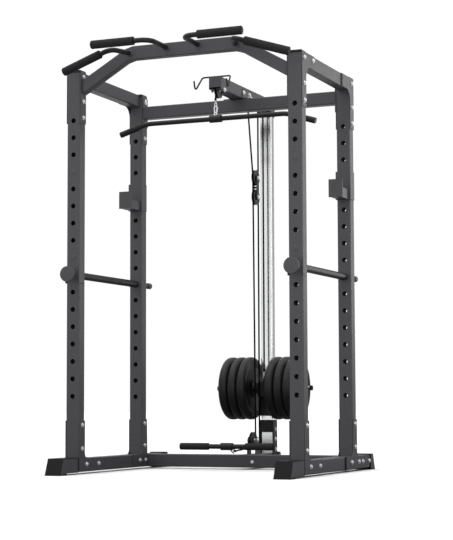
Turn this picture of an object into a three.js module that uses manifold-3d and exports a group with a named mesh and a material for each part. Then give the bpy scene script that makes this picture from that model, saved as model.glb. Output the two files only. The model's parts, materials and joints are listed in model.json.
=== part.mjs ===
// A four-post power cage with a plate-loaded pulley tower, in millimetres.
// +X is the user's right seen from the front, +Y runs to the rear, +Z is up.
// Every size below is measured from the middle of the four uprights, at floor level;
// the last lines move the whole cage so that its footprint is centred on the origin.
import * as THREE from 'three';
import { mergeVertices } from 'three/addons/utils/BufferGeometryUtils.js';
import Module from 'manifold-3d';

const wasm = await Module();
wasm.setup();

// ---- Driving dimensions ----
const GAP = 0.3;                 // left between pieces that touch
const WALL = 2.5;                // frame tube wall
const PLATE = 4;                 // bolted steel plate
const UPRIGHT_SPACING = 1235;    // left to right, centre to centre
const UPRIGHT_DEPTH = 742;       // front to rear, centre to centre
const UPRIGHT_WIDE = 74;
const UPRIGHT_DEEP = 64;
const UPRIGHT_TOP = 2104;
const HOLE_PITCH = 90;
const LOWEST_HOLE = 400;
const HOLE_COUNT = 17;
const HOLE_RADIUS = 13;
const TUBE_TALL = 70;            // rails, beams and the pulley arm
const RAIL_BOTTOM = 11;
const RAIL_TOP = RAIL_BOTTOM + TUBE_TALL;
const FOOT_WIDE = 88;
const FOOT_TOP = RAIL_TOP + 5;
const FOOT_LEAN = 34;            // the sloping end face of each foot
const SOLE_LONG = 74;
const FRONT_END = -614;
const REAR_END = 702;
const TAIL_END = 905;
const GUSSET_TOP = 275;
const WHEEL_RADIUS = 45;         // cable pulleys
const CABLE_ARC = 39;            // radius of the cable's centre line on a pulley
const CABLE_RADIUS = 3.5;
const AXLE_RADIUS = 5;
const HANDLE_RADIUS = 13;
const FOAM_RADIUS = 22;
const ROW_FOAM_RADIUS = 19;
const WEIGHT_POST_RADIUS = 14;
const COLUMN_WIDE = 70;
const COLUMN_DEEP = 50;

const POST_X = UPRIGHT_SPACING / 2;
const POST_Y = UPRIGHT_DEPTH / 2;
const INNER_X = POST_X - UPRIGHT_WIDE / 2;
const OUTER_X = POST_X + UPRIGHT_WIDE / 2;
const FRONT_FACE = -POST_Y - UPRIGHT_DEEP / 2;

const ARM_TOP = UPRIGHT_TOP + 2;
const ARM_BOTTOM = ARM_TOP - TUBE_TALL;
const ARM_FRONT = 38;
const COLUMN_FRONT = 772;
const COLUMN_REAR = COLUMN_FRONT + COLUMN_DEEP;
const COLUMN_Y = COLUMN_FRONT + COLUMN_DEEP / 2;

// Pulley centres in the plane X = 0, as [y, z]
const FRONT_WHEEL = [87, UPRIGHT_TOP - 64];
const MIDDLE_WHEEL = [458, UPRIGHT_TOP - 46];
const REAR_WHEEL = [696, UPRIGHT_TOP - 46];
const FLOATING_UPPER = [618, 1632];
const FLOATING_LOWER = [618, 1522];
const LOW_WHEEL = [560, 158];

const LAT_Y = FRONT_WHEEL[0] - CABLE_ARC;
const LAT_BAR_Z = 1878;
const CARRIAGE_BOTTOM = 290;
const CARRIAGE_TOP = 485;
const POST_AXIS = [741, 446];
const CARRIAGE_CABLE_Y = REAR_WHEEL[0] + CABLE_ARC;
const PLATE_RADIUS = 177;
const PLATE_STATIONS = [84, 138, 192];
const PLATES_REAR = POST_AXIS[0] + PLATE_RADIUS;
const ROW_BAR = [185, 131];
const SAFETY_Z = LOWEST_HOLE + 7 * HOLE_PITCH;
const HOOK_Z = LOWEST_HOLE + 12 * HOLE_PITCH;

// ---- Materials ----
const finish = (color, roughness, metalness) =>
  new THREE.MeshStandardMaterial({ color, roughness, metalness });
const painted = () => finish(0x4a494c, 0.55, 0.4);
const chrome = () => finish(0xdfe4e6, 0.12, 1);
const zinc = () => finish(0xc4c7ca, 0.3, 1);
const foam = () => finish(0x1c1c1d, 0.95, 0);
const rubber = () => finish(0x202021, 0.8, 0);
const plastic = () => finish(0x232324, 0.6, 0);
const nylon = () => finish(0x151515, 0.45, 0);
const cableCoat = () => finish(0x0c0c0c, 0.4, 0);

// ---- Shape tools ----
const v = (x, y, z) => new THREE.Vector3(x, y, z);

/** A plain box given by its two corners. */
function box(x0, x1, y0, y1, z0, z1) {
  const shape = new THREE.BoxGeometry(x1 - x0, y1 - y0, z1 - z0);
  return shape.translate((x0 + x1) / 2, (y0 + y1) / 2, (z0 + z1) / 2);
}

/** Turns a shape drawn about +Y so that it lies about another axis. */
function along(axis, shape) {
  if (axis === 'x') shape.rotateZ(-Math.PI / 2);
  if (axis === 'z') shape.rotateX(Math.PI / 2);
  return shape;
}

/** A round bar from one place to another along x, y or z, through a centre point. */
function bar(axis, radius, from, to, centre, sides = 16) {
  const shape = along(axis, new THREE.CylinderGeometry(radius, radius, to - from, sides));
  const middle = (from + to) / 2;
  if (axis === 'x') return shape.translate(middle, centre[0], centre[1]);
  if (axis === 'y') return shape.translate(centre[0], middle, centre[1]);
  return shape.translate(centre[0], centre[1], middle);
}

/** A flat plate lying in a Y-Z outline, with its thickness along X. */
function sidePlate(outline, x0, x1) {
  const shape = new THREE.ExtrudeGeometry(outline, { depth: x1 - x0, bevelEnabled: false, curveSegments: 5 });
  shape.applyMatrix4(new THREE.Matrix4().makeBasis(v(0, 1, 0), v(0, 0, 1), v(1, 0, 0)));
  return shape.translate(x0, 0, 0);
}

/** A flat plate lying in an X-Z outline, with its thickness along Y. */
function frontPlate(outline, y0, y1) {
  const shape = new THREE.ExtrudeGeometry(outline, { depth: y1 - y0, bevelEnabled: false, curveSegments: 5 });
  shape.applyMatrix4(new THREE.Matrix4().makeBasis(v(1, 0, 0), v(0, 0, 1), v(0, -1, 0)));
  return shape.translate(0, y1, 0);
}

const outlineOf = (pairs) => new THREE.Shape(pairs.map(([a, b]) => new THREE.Vector2(a, b)));

/** A straight-and-bent path whose points are used exactly as they are given. */
class Route extends THREE.Curve {
  constructor(points) {
    super();
    this.points = points;
  }

  getPoint(t, target = new THREE.Vector3()) {
    const last = this.points.length - 1;
    const index = Math.min(Math.floor(t * last), last - 1);
    return target.lerpVectors(this.points[index], this.points[index + 1], t * last - index);
  }

  getPointAt(u, target) {
    return this.getPoint(u, target);
  }

  getTangent(t, target = new THREE.Vector3()) {
    const last = this.points.length - 1;
    const index = Math.round(t * last);
    const before = this.points[Math.max(index - 1, 0)];
    const here = this.points[index];
    const after = this.points[Math.min(index + 1, last)];
    const arriving = here.clone().sub(before).normalize();
    const leaving = after.clone().sub(here).normalize();
    return target.copy(arriving.add(leaving)).normalize();
  }

  getTangentAt(u, target) {
    return this.getTangent(u, target);
  }
}

/** Points of a path through corners, each inner corner rounded to a radius. */
function rounded(corners, radius, steps = 4) {
  const points = [corners[0]];
  for (let i = 1; i < corners.length - 1; i += 1) {
    const back = corners[i - 1].clone().sub(corners[i]).normalize();
    const ahead = corners[i + 1].clone().sub(corners[i]).normalize();
    const half = back.angleTo(ahead) / 2;
    const start = corners[i].clone().addScaledVector(back, radius / Math.tan(half));
    const bisector = back.clone().add(ahead).normalize();
    const centre = corners[i].clone().addScaledVector(bisector, radius / Math.sin(half));
    const spoke = start.clone().sub(centre);
    const axis = ahead.clone().cross(back).normalize();
    for (let k = 0; k <= steps; k += 1) {
      const turn = ((Math.PI - 2 * half) * k) / steps;
      points.push(centre.clone().add(spoke.clone().applyAxisAngle(axis, turn)));
    }
  }
  points.push(corners[corners.length - 1]);
  return points;
}

/** Points of a cable lying round a pulley, from one angle to another, in degrees. */
function wrap(wheel, from, to, steps) {
  return Array.from({ length: steps + 1 }, (_, i) => {
    const angle = THREE.MathUtils.degToRad(from + ((to - from) * i) / steps);
    return v(0, wheel[0] + CABLE_ARC * Math.cos(angle), wheel[1] + CABLE_ARC * Math.sin(angle));
  });
}

/** A round rod, tube or cable along a path. */
function rod(points, radius, sides = 10) {
  const ring = Array.from({ length: sides }, (_, i) => {
    const angle = (2 * Math.PI * i) / sides;
    return [radius * Math.cos(angle), radius * Math.sin(angle)];
  });
  return new THREE.ExtrudeGeometry(outlineOf(ring), {
    steps: points.length - 1,
    extrudePath: new Route(points),
    bevelEnabled: false,
  });
}

/** A turned shape about an axis: profile pairs are [radius, place along the axis]. */
function turned(axis, profile, sides) {
  const closed = [...profile, profile[0]].map(([r, h]) => new THREE.Vector2(r, h));
  return along(axis, new THREE.LatheGeometry(closed, sides));
}

function toSolid(shape) {
  const plain = shape.clone();
  plain.deleteAttribute('normal');
  plain.deleteAttribute('uv');
  const merged = mergeVertices(plain, 1e-3);
  return new wasm.Manifold(new wasm.Mesh({
    numProp: 3,
    vertProperties: new Float32Array(merged.attributes.position.array),
    triVerts: new Uint32Array(merged.index.array),
  }));
}

function toShape(solid) {
  const mesh = solid.getMesh();
  const shape = new THREE.BufferGeometry();
  shape.setAttribute('position', new THREE.BufferAttribute(mesh.vertProperties, 3));
  shape.setIndex(new THREE.BufferAttribute(mesh.triVerts, 1));
  return shape;
}

const join = (...shapes) =>
  toShape(shapes.map(toSolid).reduce((whole, piece) => whole.add(piece)));
const cut = (shape, ...tools) =>
  toShape(tools.map(toSolid).reduce((whole, tool) => whole.subtract(tool), toSolid(shape)));

/** A rectangular tube, open at both ends, along x, y or z. */
function tube(axis, x0, x1, y0, y1, z0, z1, wall = WALL) {
  const inset = { x: [0, wall, wall], y: [wall, 0, wall], z: [wall, wall, 0] }[axis];
  const past = { x: [1, 0, 0], y: [0, 1, 0], z: [0, 0, 1] }[axis];
  const [ix, iy, iz] = inset.map((value, i) => value - past[i]);
  return cut(box(x0, x1, y0, y1, z0, z1), box(x0 + ix, x1 - ix, y0 + iy, y1 - iy, z0 + iz, z1 - iz));
}

// ---- The cage ----
const cage = new THREE.Group();

function add(name, shape, material) {
  const mesh = new THREE.Mesh(shape, material);
  mesh.name = name;
  cage.add(mesh);
}

const SIDES = [['left', -1], ['right', 1]];
const ENDS = [['front', -1], ['rear', 1]];

// ---- Base frame ----
function addUprights() {
  for (const [side, sx] of SIDES) {
    for (const [end, sy] of ENDS) {
      const x = sx * POST_X;
      const y = sy * POST_Y;
      const post = tube('z', x - UPRIGHT_WIDE / 2, x + UPRIGHT_WIDE / 2, y - UPRIGHT_DEEP / 2,
        y + UPRIGHT_DEEP / 2, RAIL_TOP + GAP, UPRIGHT_TOP);
      const holes = Array.from({ length: HOLE_COUNT }, (_, i) =>
        bar('y', HOLE_RADIUS, y - UPRIGHT_DEEP, y + UPRIGHT_DEEP, [x, LOWEST_HOLE + i * HOLE_PITCH], 8));
      add(`${side}_${end}_upright`, cut(post, ...holes), painted());
    }
  }
}

const FOOT_SOCKET = 30;          // how far a rail end reaches into its foot
const FRONT_FOOT_LONG = 198;
const REAR_FOOT_LONG = 86;
const TAIL_FOOT_LONG = 78;

/** A wedge-ended foot cap with a sole, open towards the rail. tip is +1 at the rear, -1 at the front. */
function footShape(x, end, long, tip) {
  const side = outlineOf([
    [end, 0],
    [end - tip * FOOT_LEAN, FOOT_TOP],
    [end - tip * long, FOOT_TOP],
    [end - tip * long, RAIL_BOTTOM - GAP - 1],
    [end - tip * SOLE_LONG, RAIL_BOTTOM - GAP - 1],
    [end - tip * SOLE_LONG, 0],
  ]);
  const block = sidePlate(side, x - FOOT_WIDE / 2, x + FOOT_WIDE / 2);
  const socketEnd = end - tip * (FOOT_LEAN + 12);
  const mouth = end - tip * (long + 5);
  const half = UPRIGHT_WIDE / 2 + GAP;
  return cut(block, box(x - half, x + half, Math.min(socketEnd, mouth), Math.max(socketEnd, mouth),
    RAIL_BOTTOM - GAP, RAIL_TOP + GAP));
}

function addBase() {
  const inset = FOOT_LEAN + 12 + GAP;
  for (const [side, sx] of SIDES) {
    const x = sx * POST_X;
    add(`${side}_base_rail`, tube('y', x - UPRIGHT_WIDE / 2, x + UPRIGHT_WIDE / 2,
      FRONT_END + inset, REAR_END - inset, RAIL_BOTTOM, RAIL_TOP), painted());
    add(`${side}_front_foot`, footShape(x, FRONT_END, FRONT_FOOT_LONG, -1), plastic());
    add(`${side}_rear_foot`, footShape(x, REAR_END, REAR_FOOT_LONG, 1), plastic());
  }
  add('base_crossmember', tube('x', -INNER_X + GAP, INNER_X - GAP, CROSS_FRONT, CROSS_FRONT + UPRIGHT_DEEP,
    RAIL_BOTTOM, RAIL_TOP), painted());
  add('tail_foot', footShape(0, TAIL_END, TAIL_FOOT_LONG, 1), plastic());
}

const CROSS_FRONT = 412;

/** Centre rail with the two welded ears and the axle of the low pulley. */
function addCentreRail() {
  const half = UPRIGHT_WIDE / 2;
  const rail = tube('y', -half, half, CROSS_FRONT + UPRIGHT_DEEP + GAP, TAIL_END - FOOT_LEAN - 12 - GAP,
    RAIL_BOTTOM, RAIL_TOP);
  const [y, z] = LOW_WHEEL;
  const ear = new THREE.Shape();
  ear.moveTo(y - 30, RAIL_TOP - 1);
  ear.lineTo(y + 30, RAIL_TOP - 1);
  ear.lineTo(y + 18, z);
  ear.absarc(y, z, 18, 0, Math.PI, false);
  ear.closePath();
  const eyeY = FLOATING_LOWER[0] + CABLE_ARC;
  const lug = cut(box(-4, 4, eyeY - 14, eyeY + 14, RAIL_TOP - 1, RAIL_TOP + 34),
    bar('x', 6, -9, 9, [eyeY, RAIL_TOP + 20], 8));
  add('centre_base_rail', join(rail, sidePlate(ear, -26, -22), sidePlate(ear, 22, 26),
    bar('x', AXLE_RADIUS, -24, 24, LOW_WHEEL, 8), lug), painted());
}

// ---- Gusset plates ----
/** An L or inverted-T outline with a rounded inner corner on each foot. */
function baseGussetOutline(post, front, rear) {
  const half = UPRIGHT_DEEP / 2 - 1;
  const round = 30;
  const shape = new THREE.Shape();
  shape.moveTo(front, RAIL_BOTTOM + 4);
  shape.lineTo(rear, RAIL_BOTTOM + 4);
  shape.lineTo(rear, RAIL_TOP);
  shape.lineTo(post + half + round, RAIL_TOP);
  shape.absarc(post + half + round, RAIL_TOP + round, round, -Math.PI / 2, -Math.PI, true);
  shape.lineTo(post + half, GUSSET_TOP);
  shape.lineTo(post - half, GUSSET_TOP);
  if (front < post - half - round) {
    shape.lineTo(post - half, RAIL_TOP + round);
    shape.absarc(post - half - round, RAIL_TOP + round, round, 0, -Math.PI / 2, true);
    shape.lineTo(front, RAIL_TOP);
  }
  shape.closePath();
  return shape;
}

/** The corner plate that ties a top rail to an upright; reach is where its long arm ends. */
function topGussetOutline(post, sy) {
  const round = 60;
  const outer = post + sy * (UPRIGHT_DEEP / 2 - 1);
  const inner = post - sy * (UPRIGHT_DEEP / 2 - 4);
  const reach = inner - sy * 121;
  const low = UPRIGHT_TOP - 278;
  const shape = new THREE.Shape();
  shape.moveTo(outer, UPRIGHT_TOP - 1);
  shape.lineTo(reach, UPRIGHT_TOP - 1);
  shape.lineTo(reach, UPRIGHT_TOP - TUBE_TALL + 1);
  shape.lineTo(inner - sy * round, UPRIGHT_TOP - TUBE_TALL + 1);
  shape.absarc(inner - sy * round, UPRIGHT_TOP - TUBE_TALL + 1 - round, round, Math.PI / 2,
    sy > 0 ? 0 : Math.PI, sy > 0);
  shape.lineTo(inner, low);
  shape.lineTo(outer, low);
  shape.closePath();
  return shape;
}

function addGussets() {
  const spans = { front: [FRONT_FACE + 1, -150], rear: [230, 612] };
  for (const [side, sx] of SIDES) {
    const near = sx * (OUTER_X + GAP);
    const far = sx * (OUTER_X + GAP + PLATE);
    for (const [end, sy] of ENDS) {
      const base = baseGussetOutline(sy * POST_Y, ...spans[end]);
      const top = topGussetOutline(sy * POST_Y, sy);
      add(`${side}_${end}_base_gusset`, sidePlate(base, Math.min(near, far), Math.max(near, far)), painted());
      add(`${side}_${end}_top_gusset`, sidePlate(top, Math.min(near, far), Math.max(near, far)), painted());
    }
  }
}

// ---- Top frame ----
const TOP_RAIL_WIDE = 60;
const BEAM_TOP = ARM_BOTTOM - GAP;

function addTopFrame() {
  const reach = POST_Y - UPRIGHT_DEEP / 2 - GAP;
  for (const [side, sx] of SIDES) {
    const inner = sx * (OUTER_X - TOP_RAIL_WIDE);
    const outer = sx * OUTER_X;
    add(`${side}_top_rail`, tube('y', Math.min(inner, outer), Math.max(inner, outer), -reach, reach,
      UPRIGHT_TOP - TUBE_TALL, UPRIGHT_TOP), painted());
  }
  add('rear_top_crossbeam', tube('x', -INNER_X + GAP, INNER_X - GAP, POST_Y - 30, POST_Y + 30,
    BEAM_TOP - TUBE_TALL, BEAM_TOP), painted());
}

// ---- Pull-up arch ----
const ARCH_FRONT = FRONT_FACE + 15;
const ARCH_DEEP = 55;
const ARCH_BEND_X = 303;
const ARCH_END_LOW = UPRIGHT_TOP - 125;
const ARCH_MIDDLE_LOW = UPRIGHT_TOP + 37;

/** The bent tube's outline, seen from the front; inset leaves the tube's wall. */
function archOutline(inset, past) {
  const end = INNER_X - GAP + past;
  const slope = (ARCH_MIDDLE_LOW - ARCH_END_LOW) / (INNER_X - ARCH_BEND_X);
  const endLow = ARCH_END_LOW - past * slope;
  const slant = inset * Math.hypot(1, slope);
  const shift = (slant - inset) / slope;
  const rise = TUBE_TALL + 4;
  return outlineOf([
    [-end, endLow + slant],
    [-ARCH_BEND_X + shift, ARCH_MIDDLE_LOW + inset],
    [ARCH_BEND_X - shift, ARCH_MIDDLE_LOW + inset],
    [end, endLow + slant],
    [end, endLow + rise - slant],
    [ARCH_BEND_X - shift, ARCH_MIDDLE_LOW + TUBE_TALL - inset],
    [-ARCH_BEND_X + shift, ARCH_MIDDLE_LOW + TUBE_TALL - inset],
    [-end, endLow + rise - slant],
  ]);
}

const INNER_ROOT = 89;
const INNER_REACH = 204;
const INNER_Z = UPRIGHT_TOP + 82;
const INNER_GRIP = [175, 415];
const OUTER_ROOT = v(296, ARCH_FRONT + 4, UPRIGHT_TOP + 70);
const OUTER_CORNER = v(336, ARCH_FRONT - 146, UPRIGHT_TOP + 65);
const OUTER_GRIP_START = v(398, ARCH_FRONT - 138, UPRIGHT_TOP + 46);
const OUTER_GRIP_END = v(626, ARCH_FRONT - 107, UPRIGHT_TOP - 23);

const mirrored = (point, sx) => v(sx * point.x, point.y, point.z);

function innerHandle(sx) {
  const y = ARCH_FRONT - INNER_REACH;
  return rod(rounded([
    v(sx * INNER_ROOT, ARCH_FRONT + 4, INNER_Z),
    v(sx * INNER_ROOT, y, INNER_Z),
    v(sx * (INNER_GRIP[1] + 2), y, INNER_Z),
  ], 60, 4), HANDLE_RADIUS, 8);
}

function outerHandle(sx) {
  const past = OUTER_GRIP_END.clone().sub(OUTER_GRIP_START).normalize().multiplyScalar(2);
  return rod(rounded([
    mirrored(OUTER_ROOT, sx),
    mirrored(OUTER_CORNER, sx),
    mirrored(OUTER_GRIP_END.clone().add(past), sx),
  ], 50, 3), HANDLE_RADIUS, 8);
}

/** A foam sleeve between two points, open through its middle. */
function foamSleeve(from, to, inner, outer) {
  const length = from.distanceTo(to);
  const profile = [[inner, 0], [outer, 0], [outer, length], [inner, length]];
  const sleeve = turned('y', profile, 14);
  const turn = new THREE.Quaternion().setFromUnitVectors(v(0, 1, 0), to.clone().sub(from).normalize());
  return sleeve.applyQuaternion(turn).translate(from.x, from.y, from.z);
}

function addArch() {
  const outer = frontPlate(archOutline(0, 0), ARCH_FRONT, ARCH_FRONT + ARCH_DEEP);
  const inner = frontPlate(archOutline(WALL, 1), ARCH_FRONT + WALL, ARCH_FRONT + ARCH_DEEP - WALL);
  const tubing = cut(outer, inner);
  const pieces = [];
  for (const [, sx] of SIDES) {
    const x0 = sx * (INNER_X - GAP);
    const x1 = sx * (INNER_X - GAP - PLATE);
    pieces.push(box(Math.min(x0, x1), Math.max(x0, x1), FRONT_FACE + 2, FRONT_FACE + UPRIGHT_DEEP - 2,
      UPRIGHT_TOP - 165, UPRIGHT_TOP - 3));
    pieces.push(innerHandle(sx), outerHandle(sx));
  }
  add('pull_up_arch', join(tubing, ...pieces), painted());
  const bore = HANDLE_RADIUS + 1;
  for (const [side, sx] of SIDES) {
    const y = ARCH_FRONT - INNER_REACH;
    add(`${side}_inner_grip`, foamSleeve(v(sx * INNER_GRIP[0], y, INNER_Z), v(sx * INNER_GRIP[1], y, INNER_Z),
      bore, FOAM_RADIUS), foam());
    add(`${side}_outer_grip`, foamSleeve(mirrored(OUTER_GRIP_START, sx), mirrored(OUTER_GRIP_END, sx),
      bore, FOAM_RADIUS), foam());
  }
}

// ---- Pulley arm and bar holder ----
const SLOT_HALF = 13;

/** The wire rest on the arm's tip that takes the pull-down bar when it isn't clipped on. */
function barHolder() {
  const across = 81;
  const back = ARM_FRONT + 22;
  const top = ARM_TOP + 3;
  const half = [v(across, back, top), v(across + 13, back - 71, top - 84), v(across + 13, back - 86, top - 32)];
  const corners = [...half.map((p) => mirrored(p, -1)).reverse(), ...half];
  return rod(rounded(corners, 12, 3), 4, 8);
}

function addArm() {
  const half = COLUMN_WIDE / 2;
  const shell = tube('y', -half, half, ARM_FRONT, COLUMN_REAR + 15, ARM_BOTTOM, ARM_TOP);
  const slots = [FRONT_WHEEL, MIDDLE_WHEEL, REAR_WHEEL].map(([y]) =>
    box(-SLOT_HALF, SLOT_HALF, y - 52, y + 52, ARM_BOTTOM - 5, ARM_BOTTOM + 5));
  const slotted = cut(shell, ...slots);
  const axles = [FRONT_WHEEL, MIDDLE_WHEEL, REAR_WHEEL].map((wheel) =>
    bar('x', AXLE_RADIUS, -half + 1, half - 1, wheel, 8));
  const nose = box(-half, half, ARM_FRONT, ARM_FRONT + 3, ARM_BOTTOM + 12, ARM_TOP);
  add('pulley_arm', join(slotted, nose, ...axles, barHolder()), painted());
}

// ---- Pulleys ----
function wheelShape([y, z]) {
  const hub = 9;
  const groove = CABLE_ARC - CABLE_RADIUS - 1.5;
  const profile = [
    [AXLE_RADIUS + 0.8, -hub], [14, -hub], [WHEEL_RADIUS, -8], [groove, -3.6],
    [groove, 3.6], [WHEEL_RADIUS, 8], [14, hub], [AXLE_RADIUS + 0.8, hub],
  ];
  return turned('x', profile, 14).translate(0, y, z);
}

function addWheels() {
  const places = {
    front_pulley: FRONT_WHEEL, middle_pulley: MIDDLE_WHEEL, rear_pulley: REAR_WHEEL,
    floating_upper_pulley: FLOATING_UPPER, floating_lower_pulley: FLOATING_LOWER, low_pulley: LOW_WHEEL,
  };
  for (const [name, place] of Object.entries(places)) add(name, wheelShape(place), nylon());
}

/** Two cheek plates with two axles and a spacer between the wheels. */
function addFloatingBlock() {
  const [y, low] = FLOATING_LOWER;
  const high = FLOATING_UPPER[1];
  const cheek = new THREE.Shape();
  cheek.absarc(y, low, 17, Math.PI, 2 * Math.PI, false);
  cheek.absarc(y, high, 17, 0, Math.PI, false);
  cheek.closePath();
  add('floating_block', join(
    sidePlate(cheek, -15, -12), sidePlate(cheek, 12, 15),
    bar('x', AXLE_RADIUS, -13, 13, FLOATING_UPPER, 8),
    bar('x', AXLE_RADIUS, -13, 13, FLOATING_LOWER, 8),
    bar('x', 4, -13, 13, [y, (low + high) / 2], 8),
  ), painted());
}

// ---- Weight tower ----
function addColumn() {
  const half = COLUMN_WIDE / 2;
  add('chrome_column', tube('z', -half, half, COLUMN_FRONT, COLUMN_REAR, RAIL_TOP + GAP, ARM_BOTTOM - GAP), chrome());
  const cheek = half + GAP + 2;
  const top = 267;
  const front = COLUMN_FRONT - GAP - 6;
  const cheeks = [-1, 1].map((sx) => box(Math.min(sx * cheek, sx * (cheek + 5)),
    Math.max(sx * cheek, sx * (cheek + 5)), front, COLUMN_REAR + 3, RAIL_BOTTOM + 6, top));
  const web = box(-cheek - 1, cheek + 1, front, front + 5, 197, top);
  add('column_bracket', join(...cheeks, web), painted());
}

function addCarriage() {
  const clear = 2;
  const wall = 5;
  const halfX = COLUMN_WIDE / 2 + clear + wall;
  const frontY = COLUMN_FRONT - clear - wall;
  const sleeve = tube('z', -halfX, halfX, frontY, COLUMN_REAR + clear + wall, CARRIAGE_BOTTOM, CARRIAGE_TOP, wall);
  const [y, z] = POST_AXIS;
  const block = box(-34, 34, y - 28, frontY + 1, z - 48, z + 30);
  const post = bar('x', WEIGHT_POST_RADIUS, -284, 284, POST_AXIS);
  const caps = [-1, 1].map((sx) => bar('x', 14.4, Math.min(sx * 278, sx * 288), Math.max(sx * 278, sx * 288), POST_AXIS));
  const collars = [-1, 1].map((sx) => bar('x', 30, Math.min(sx * 30, sx * 56), Math.max(sx * 30, sx * 56), POST_AXIS));
  const eye = cut(box(-4, 4, CARRIAGE_CABLE_Y - 14, CARRIAGE_CABLE_Y + 14, z + 28, z + 62),
    bar('x', 7, -9, 9, [CARRIAGE_CABLE_Y, z + 48], 8));
  add('weight_carriage', join(sleeve, block, post, ...caps, ...collars, eye), painted());
}

function addWeightPlates() {
  const half = 26;
  const rim = PLATE_RADIUS;
  const profile = [
    [WEIGHT_POST_RADIUS + 1, -half + 4], [rim - 42, -half + 10], [rim - 20, -half], [rim, -half + 14],
    [rim, half - 14], [rim - 20, half], [rim - 42, half - 10], [WEIGHT_POST_RADIUS + 1, half - 4],
  ];
  const ordinals = ['inner', 'middle', 'outer'];
  for (const [side, sx] of SIDES) {
    PLATE_STATIONS.forEach((station, i) => {
      const plate = turned('x', profile, 20).translate(sx * station, POST_AXIS[0], POST_AXIS[1]);
      add(`${side}_${ordinals[i]}_weight_plate`, plate, rubber());
    });
  }
}

// ---- Bars and their links ----
function ringLink(low, high, y) {
  const reach = 15;
  const outer = new THREE.Shape();
  outer.absarc(0, low + reach, reach, Math.PI, 2 * Math.PI, false);
  outer.absarc(0, high - reach, reach, 0, Math.PI, false);
  outer.closePath();
  const hole = new THREE.Path();
  hole.absarc(0, high - reach, reach - 6, Math.PI, 0, true);
  hole.absarc(0, low + reach, reach - 6, 2 * Math.PI, Math.PI, true);
  hole.closePath();
  outer.holes.push(hole);
  return frontPlate(outer, y - 3, y + 3);
}

const LUG_TOP = LAT_BAR_Z + 36;

function addLatBar() {
  const straight = 402;
  const tip = 566;
  const drop = 50;
  const shaft = rod(rounded([v(-tip, LAT_Y, LAT_BAR_Z - drop), v(-straight, LAT_Y, LAT_BAR_Z),
    v(straight, LAT_Y, LAT_BAR_Z), v(tip, LAT_Y, LAT_BAR_Z - drop)], 160, 3), HANDLE_RADIUS, 12);
  const sleeve = bar('x', 20, -34, 34, [LAT_Y, LAT_BAR_Z], 14);
  const lug = cut(box(-10, 10, LAT_Y - 4, LAT_Y + 4, LAT_BAR_Z + 15, LUG_TOP),
    bar('y', 4, LAT_Y - 9, LAT_Y + 9, [0, LAT_BAR_Z + 28], 8));
  add('lat_bar', join(shaft, sleeve, lug), painted());
  add('lat_link', ringLink(LUG_TOP + GAP, LUG_TOP + 76, LAT_Y), zinc());
}

const ROW_LUG_END = ROW_BAR[0] + 36;
const ROW_LINK_END = ROW_LUG_END + 84;

function addRowBar() {
  const [y, z] = ROW_BAR;
  const shaft = bar('x', HANDLE_RADIUS, -270, 270, ROW_BAR, 12);
  const sleeve = bar('x', 20, -34, 34, ROW_BAR, 14);
  const lug = cut(box(-4, 4, y + 15, ROW_LUG_END, z - 10, z + 10), bar('x', 4, -9, 9, [y + 28, z], 8));
  add('row_bar', join(shaft, sleeve, lug), painted());
  for (const [side, sx] of SIDES) {
    add(`${side}_row_grip`, foamSleeve(v(sx * 105, y, z), v(sx * 268, y, z), HANDLE_RADIUS + 1,
      ROW_FOAM_RADIUS), foam());
  }
  const link = ringLink(0, ROW_LINK_END - ROW_LUG_END - 1.2, 0);
  link.rotateX(-Math.PI / 2);
  add('row_link', link.translate(0, ROW_LUG_END + 1.2, z), zinc());
}

// ---- Cables ----
const LAT_LINK_TOP = LUG_TOP + 76;

/** The one cable from the pull-down bar to the carriage. */
function addLatCable() {
  const route = [
    v(0, LAT_Y, LAT_LINK_TOP + GAP),
    ...wrap(FRONT_WHEEL, 180, 90, 6),
    ...wrap(MIDDLE_WHEEL, 90, 10, 5),
    ...wrap(FLOATING_UPPER, 190, 360, 12),
    ...wrap(REAR_WHEEL, 180, 0, 12),
    v(0, CARRIAGE_CABLE_Y, POST_AXIS[1] + 62 + GAP),
  ];
  add('lat_cable', rod(route, CABLE_RADIUS, 6), cableCoat());
}

/** The cable from the row bar, under the low pulley and over the floating block to the rail. */
function addRowCable() {
  const route = [
    v(0, ROW_LINK_END + GAP, ROW_BAR[1] - 8),
    ...wrap(LOW_WHEEL, 272, 359, 6),
    ...wrap(FLOATING_LOWER, 179, 0, 12),
    v(0, FLOATING_LOWER[0] + CABLE_ARC, RAIL_TOP + 34 + GAP),
  ];
  add('row_cable', rod(route, CABLE_RADIUS, 6), cableCoat());
}

// ---- J-hooks and safety bars ----
const HOOK_REACH = 132;

/** A hook that wraps the upright: two cheeks, a shelf, a raised lip and a pin into each of two holes. */
function addHooks() {
  const face = POST_Y - UPRIGHT_DEEP / 2;
  const half = UPRIGHT_WIDE / 2 + GAP + 0.7;
  const outer = half + PLATE;
  const front = face - HOOK_REACH;
  const low = HOOK_Z - 36;
  const top = HOOK_Z + 115;
  for (const [side, sx] of SIDES) {
    const x = sx * POST_X;
    const cheeks = [-1, 1].map((s) => box(x + Math.min(s * half, s * outer), x + Math.max(s * half, s * outer),
      face - 7, face + 56, low, top));
    const back = box(x - outer, x + outer, face - 7, face - 2, low, top);
    const shelf = box(x - 30, x + 30, front, face - 3, low, HOOK_Z + 16);
    const lip = box(x - 39, x + 39, front, front + 6, low, HOOK_Z + 59);
    const pins = [0, HOLE_PITCH].map((rise) =>
      bar('y', HOLE_RADIUS - 1.5, face - 4, face + 24, [x, HOOK_Z + rise], 8));
    add(`${side}_j_hook`, join(...cheeks, back, shelf, lip, ...pins), painted());
  }
}

const SAFETY_DISC = 41;
const SAFETY_SLEEVE = 19;

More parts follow.
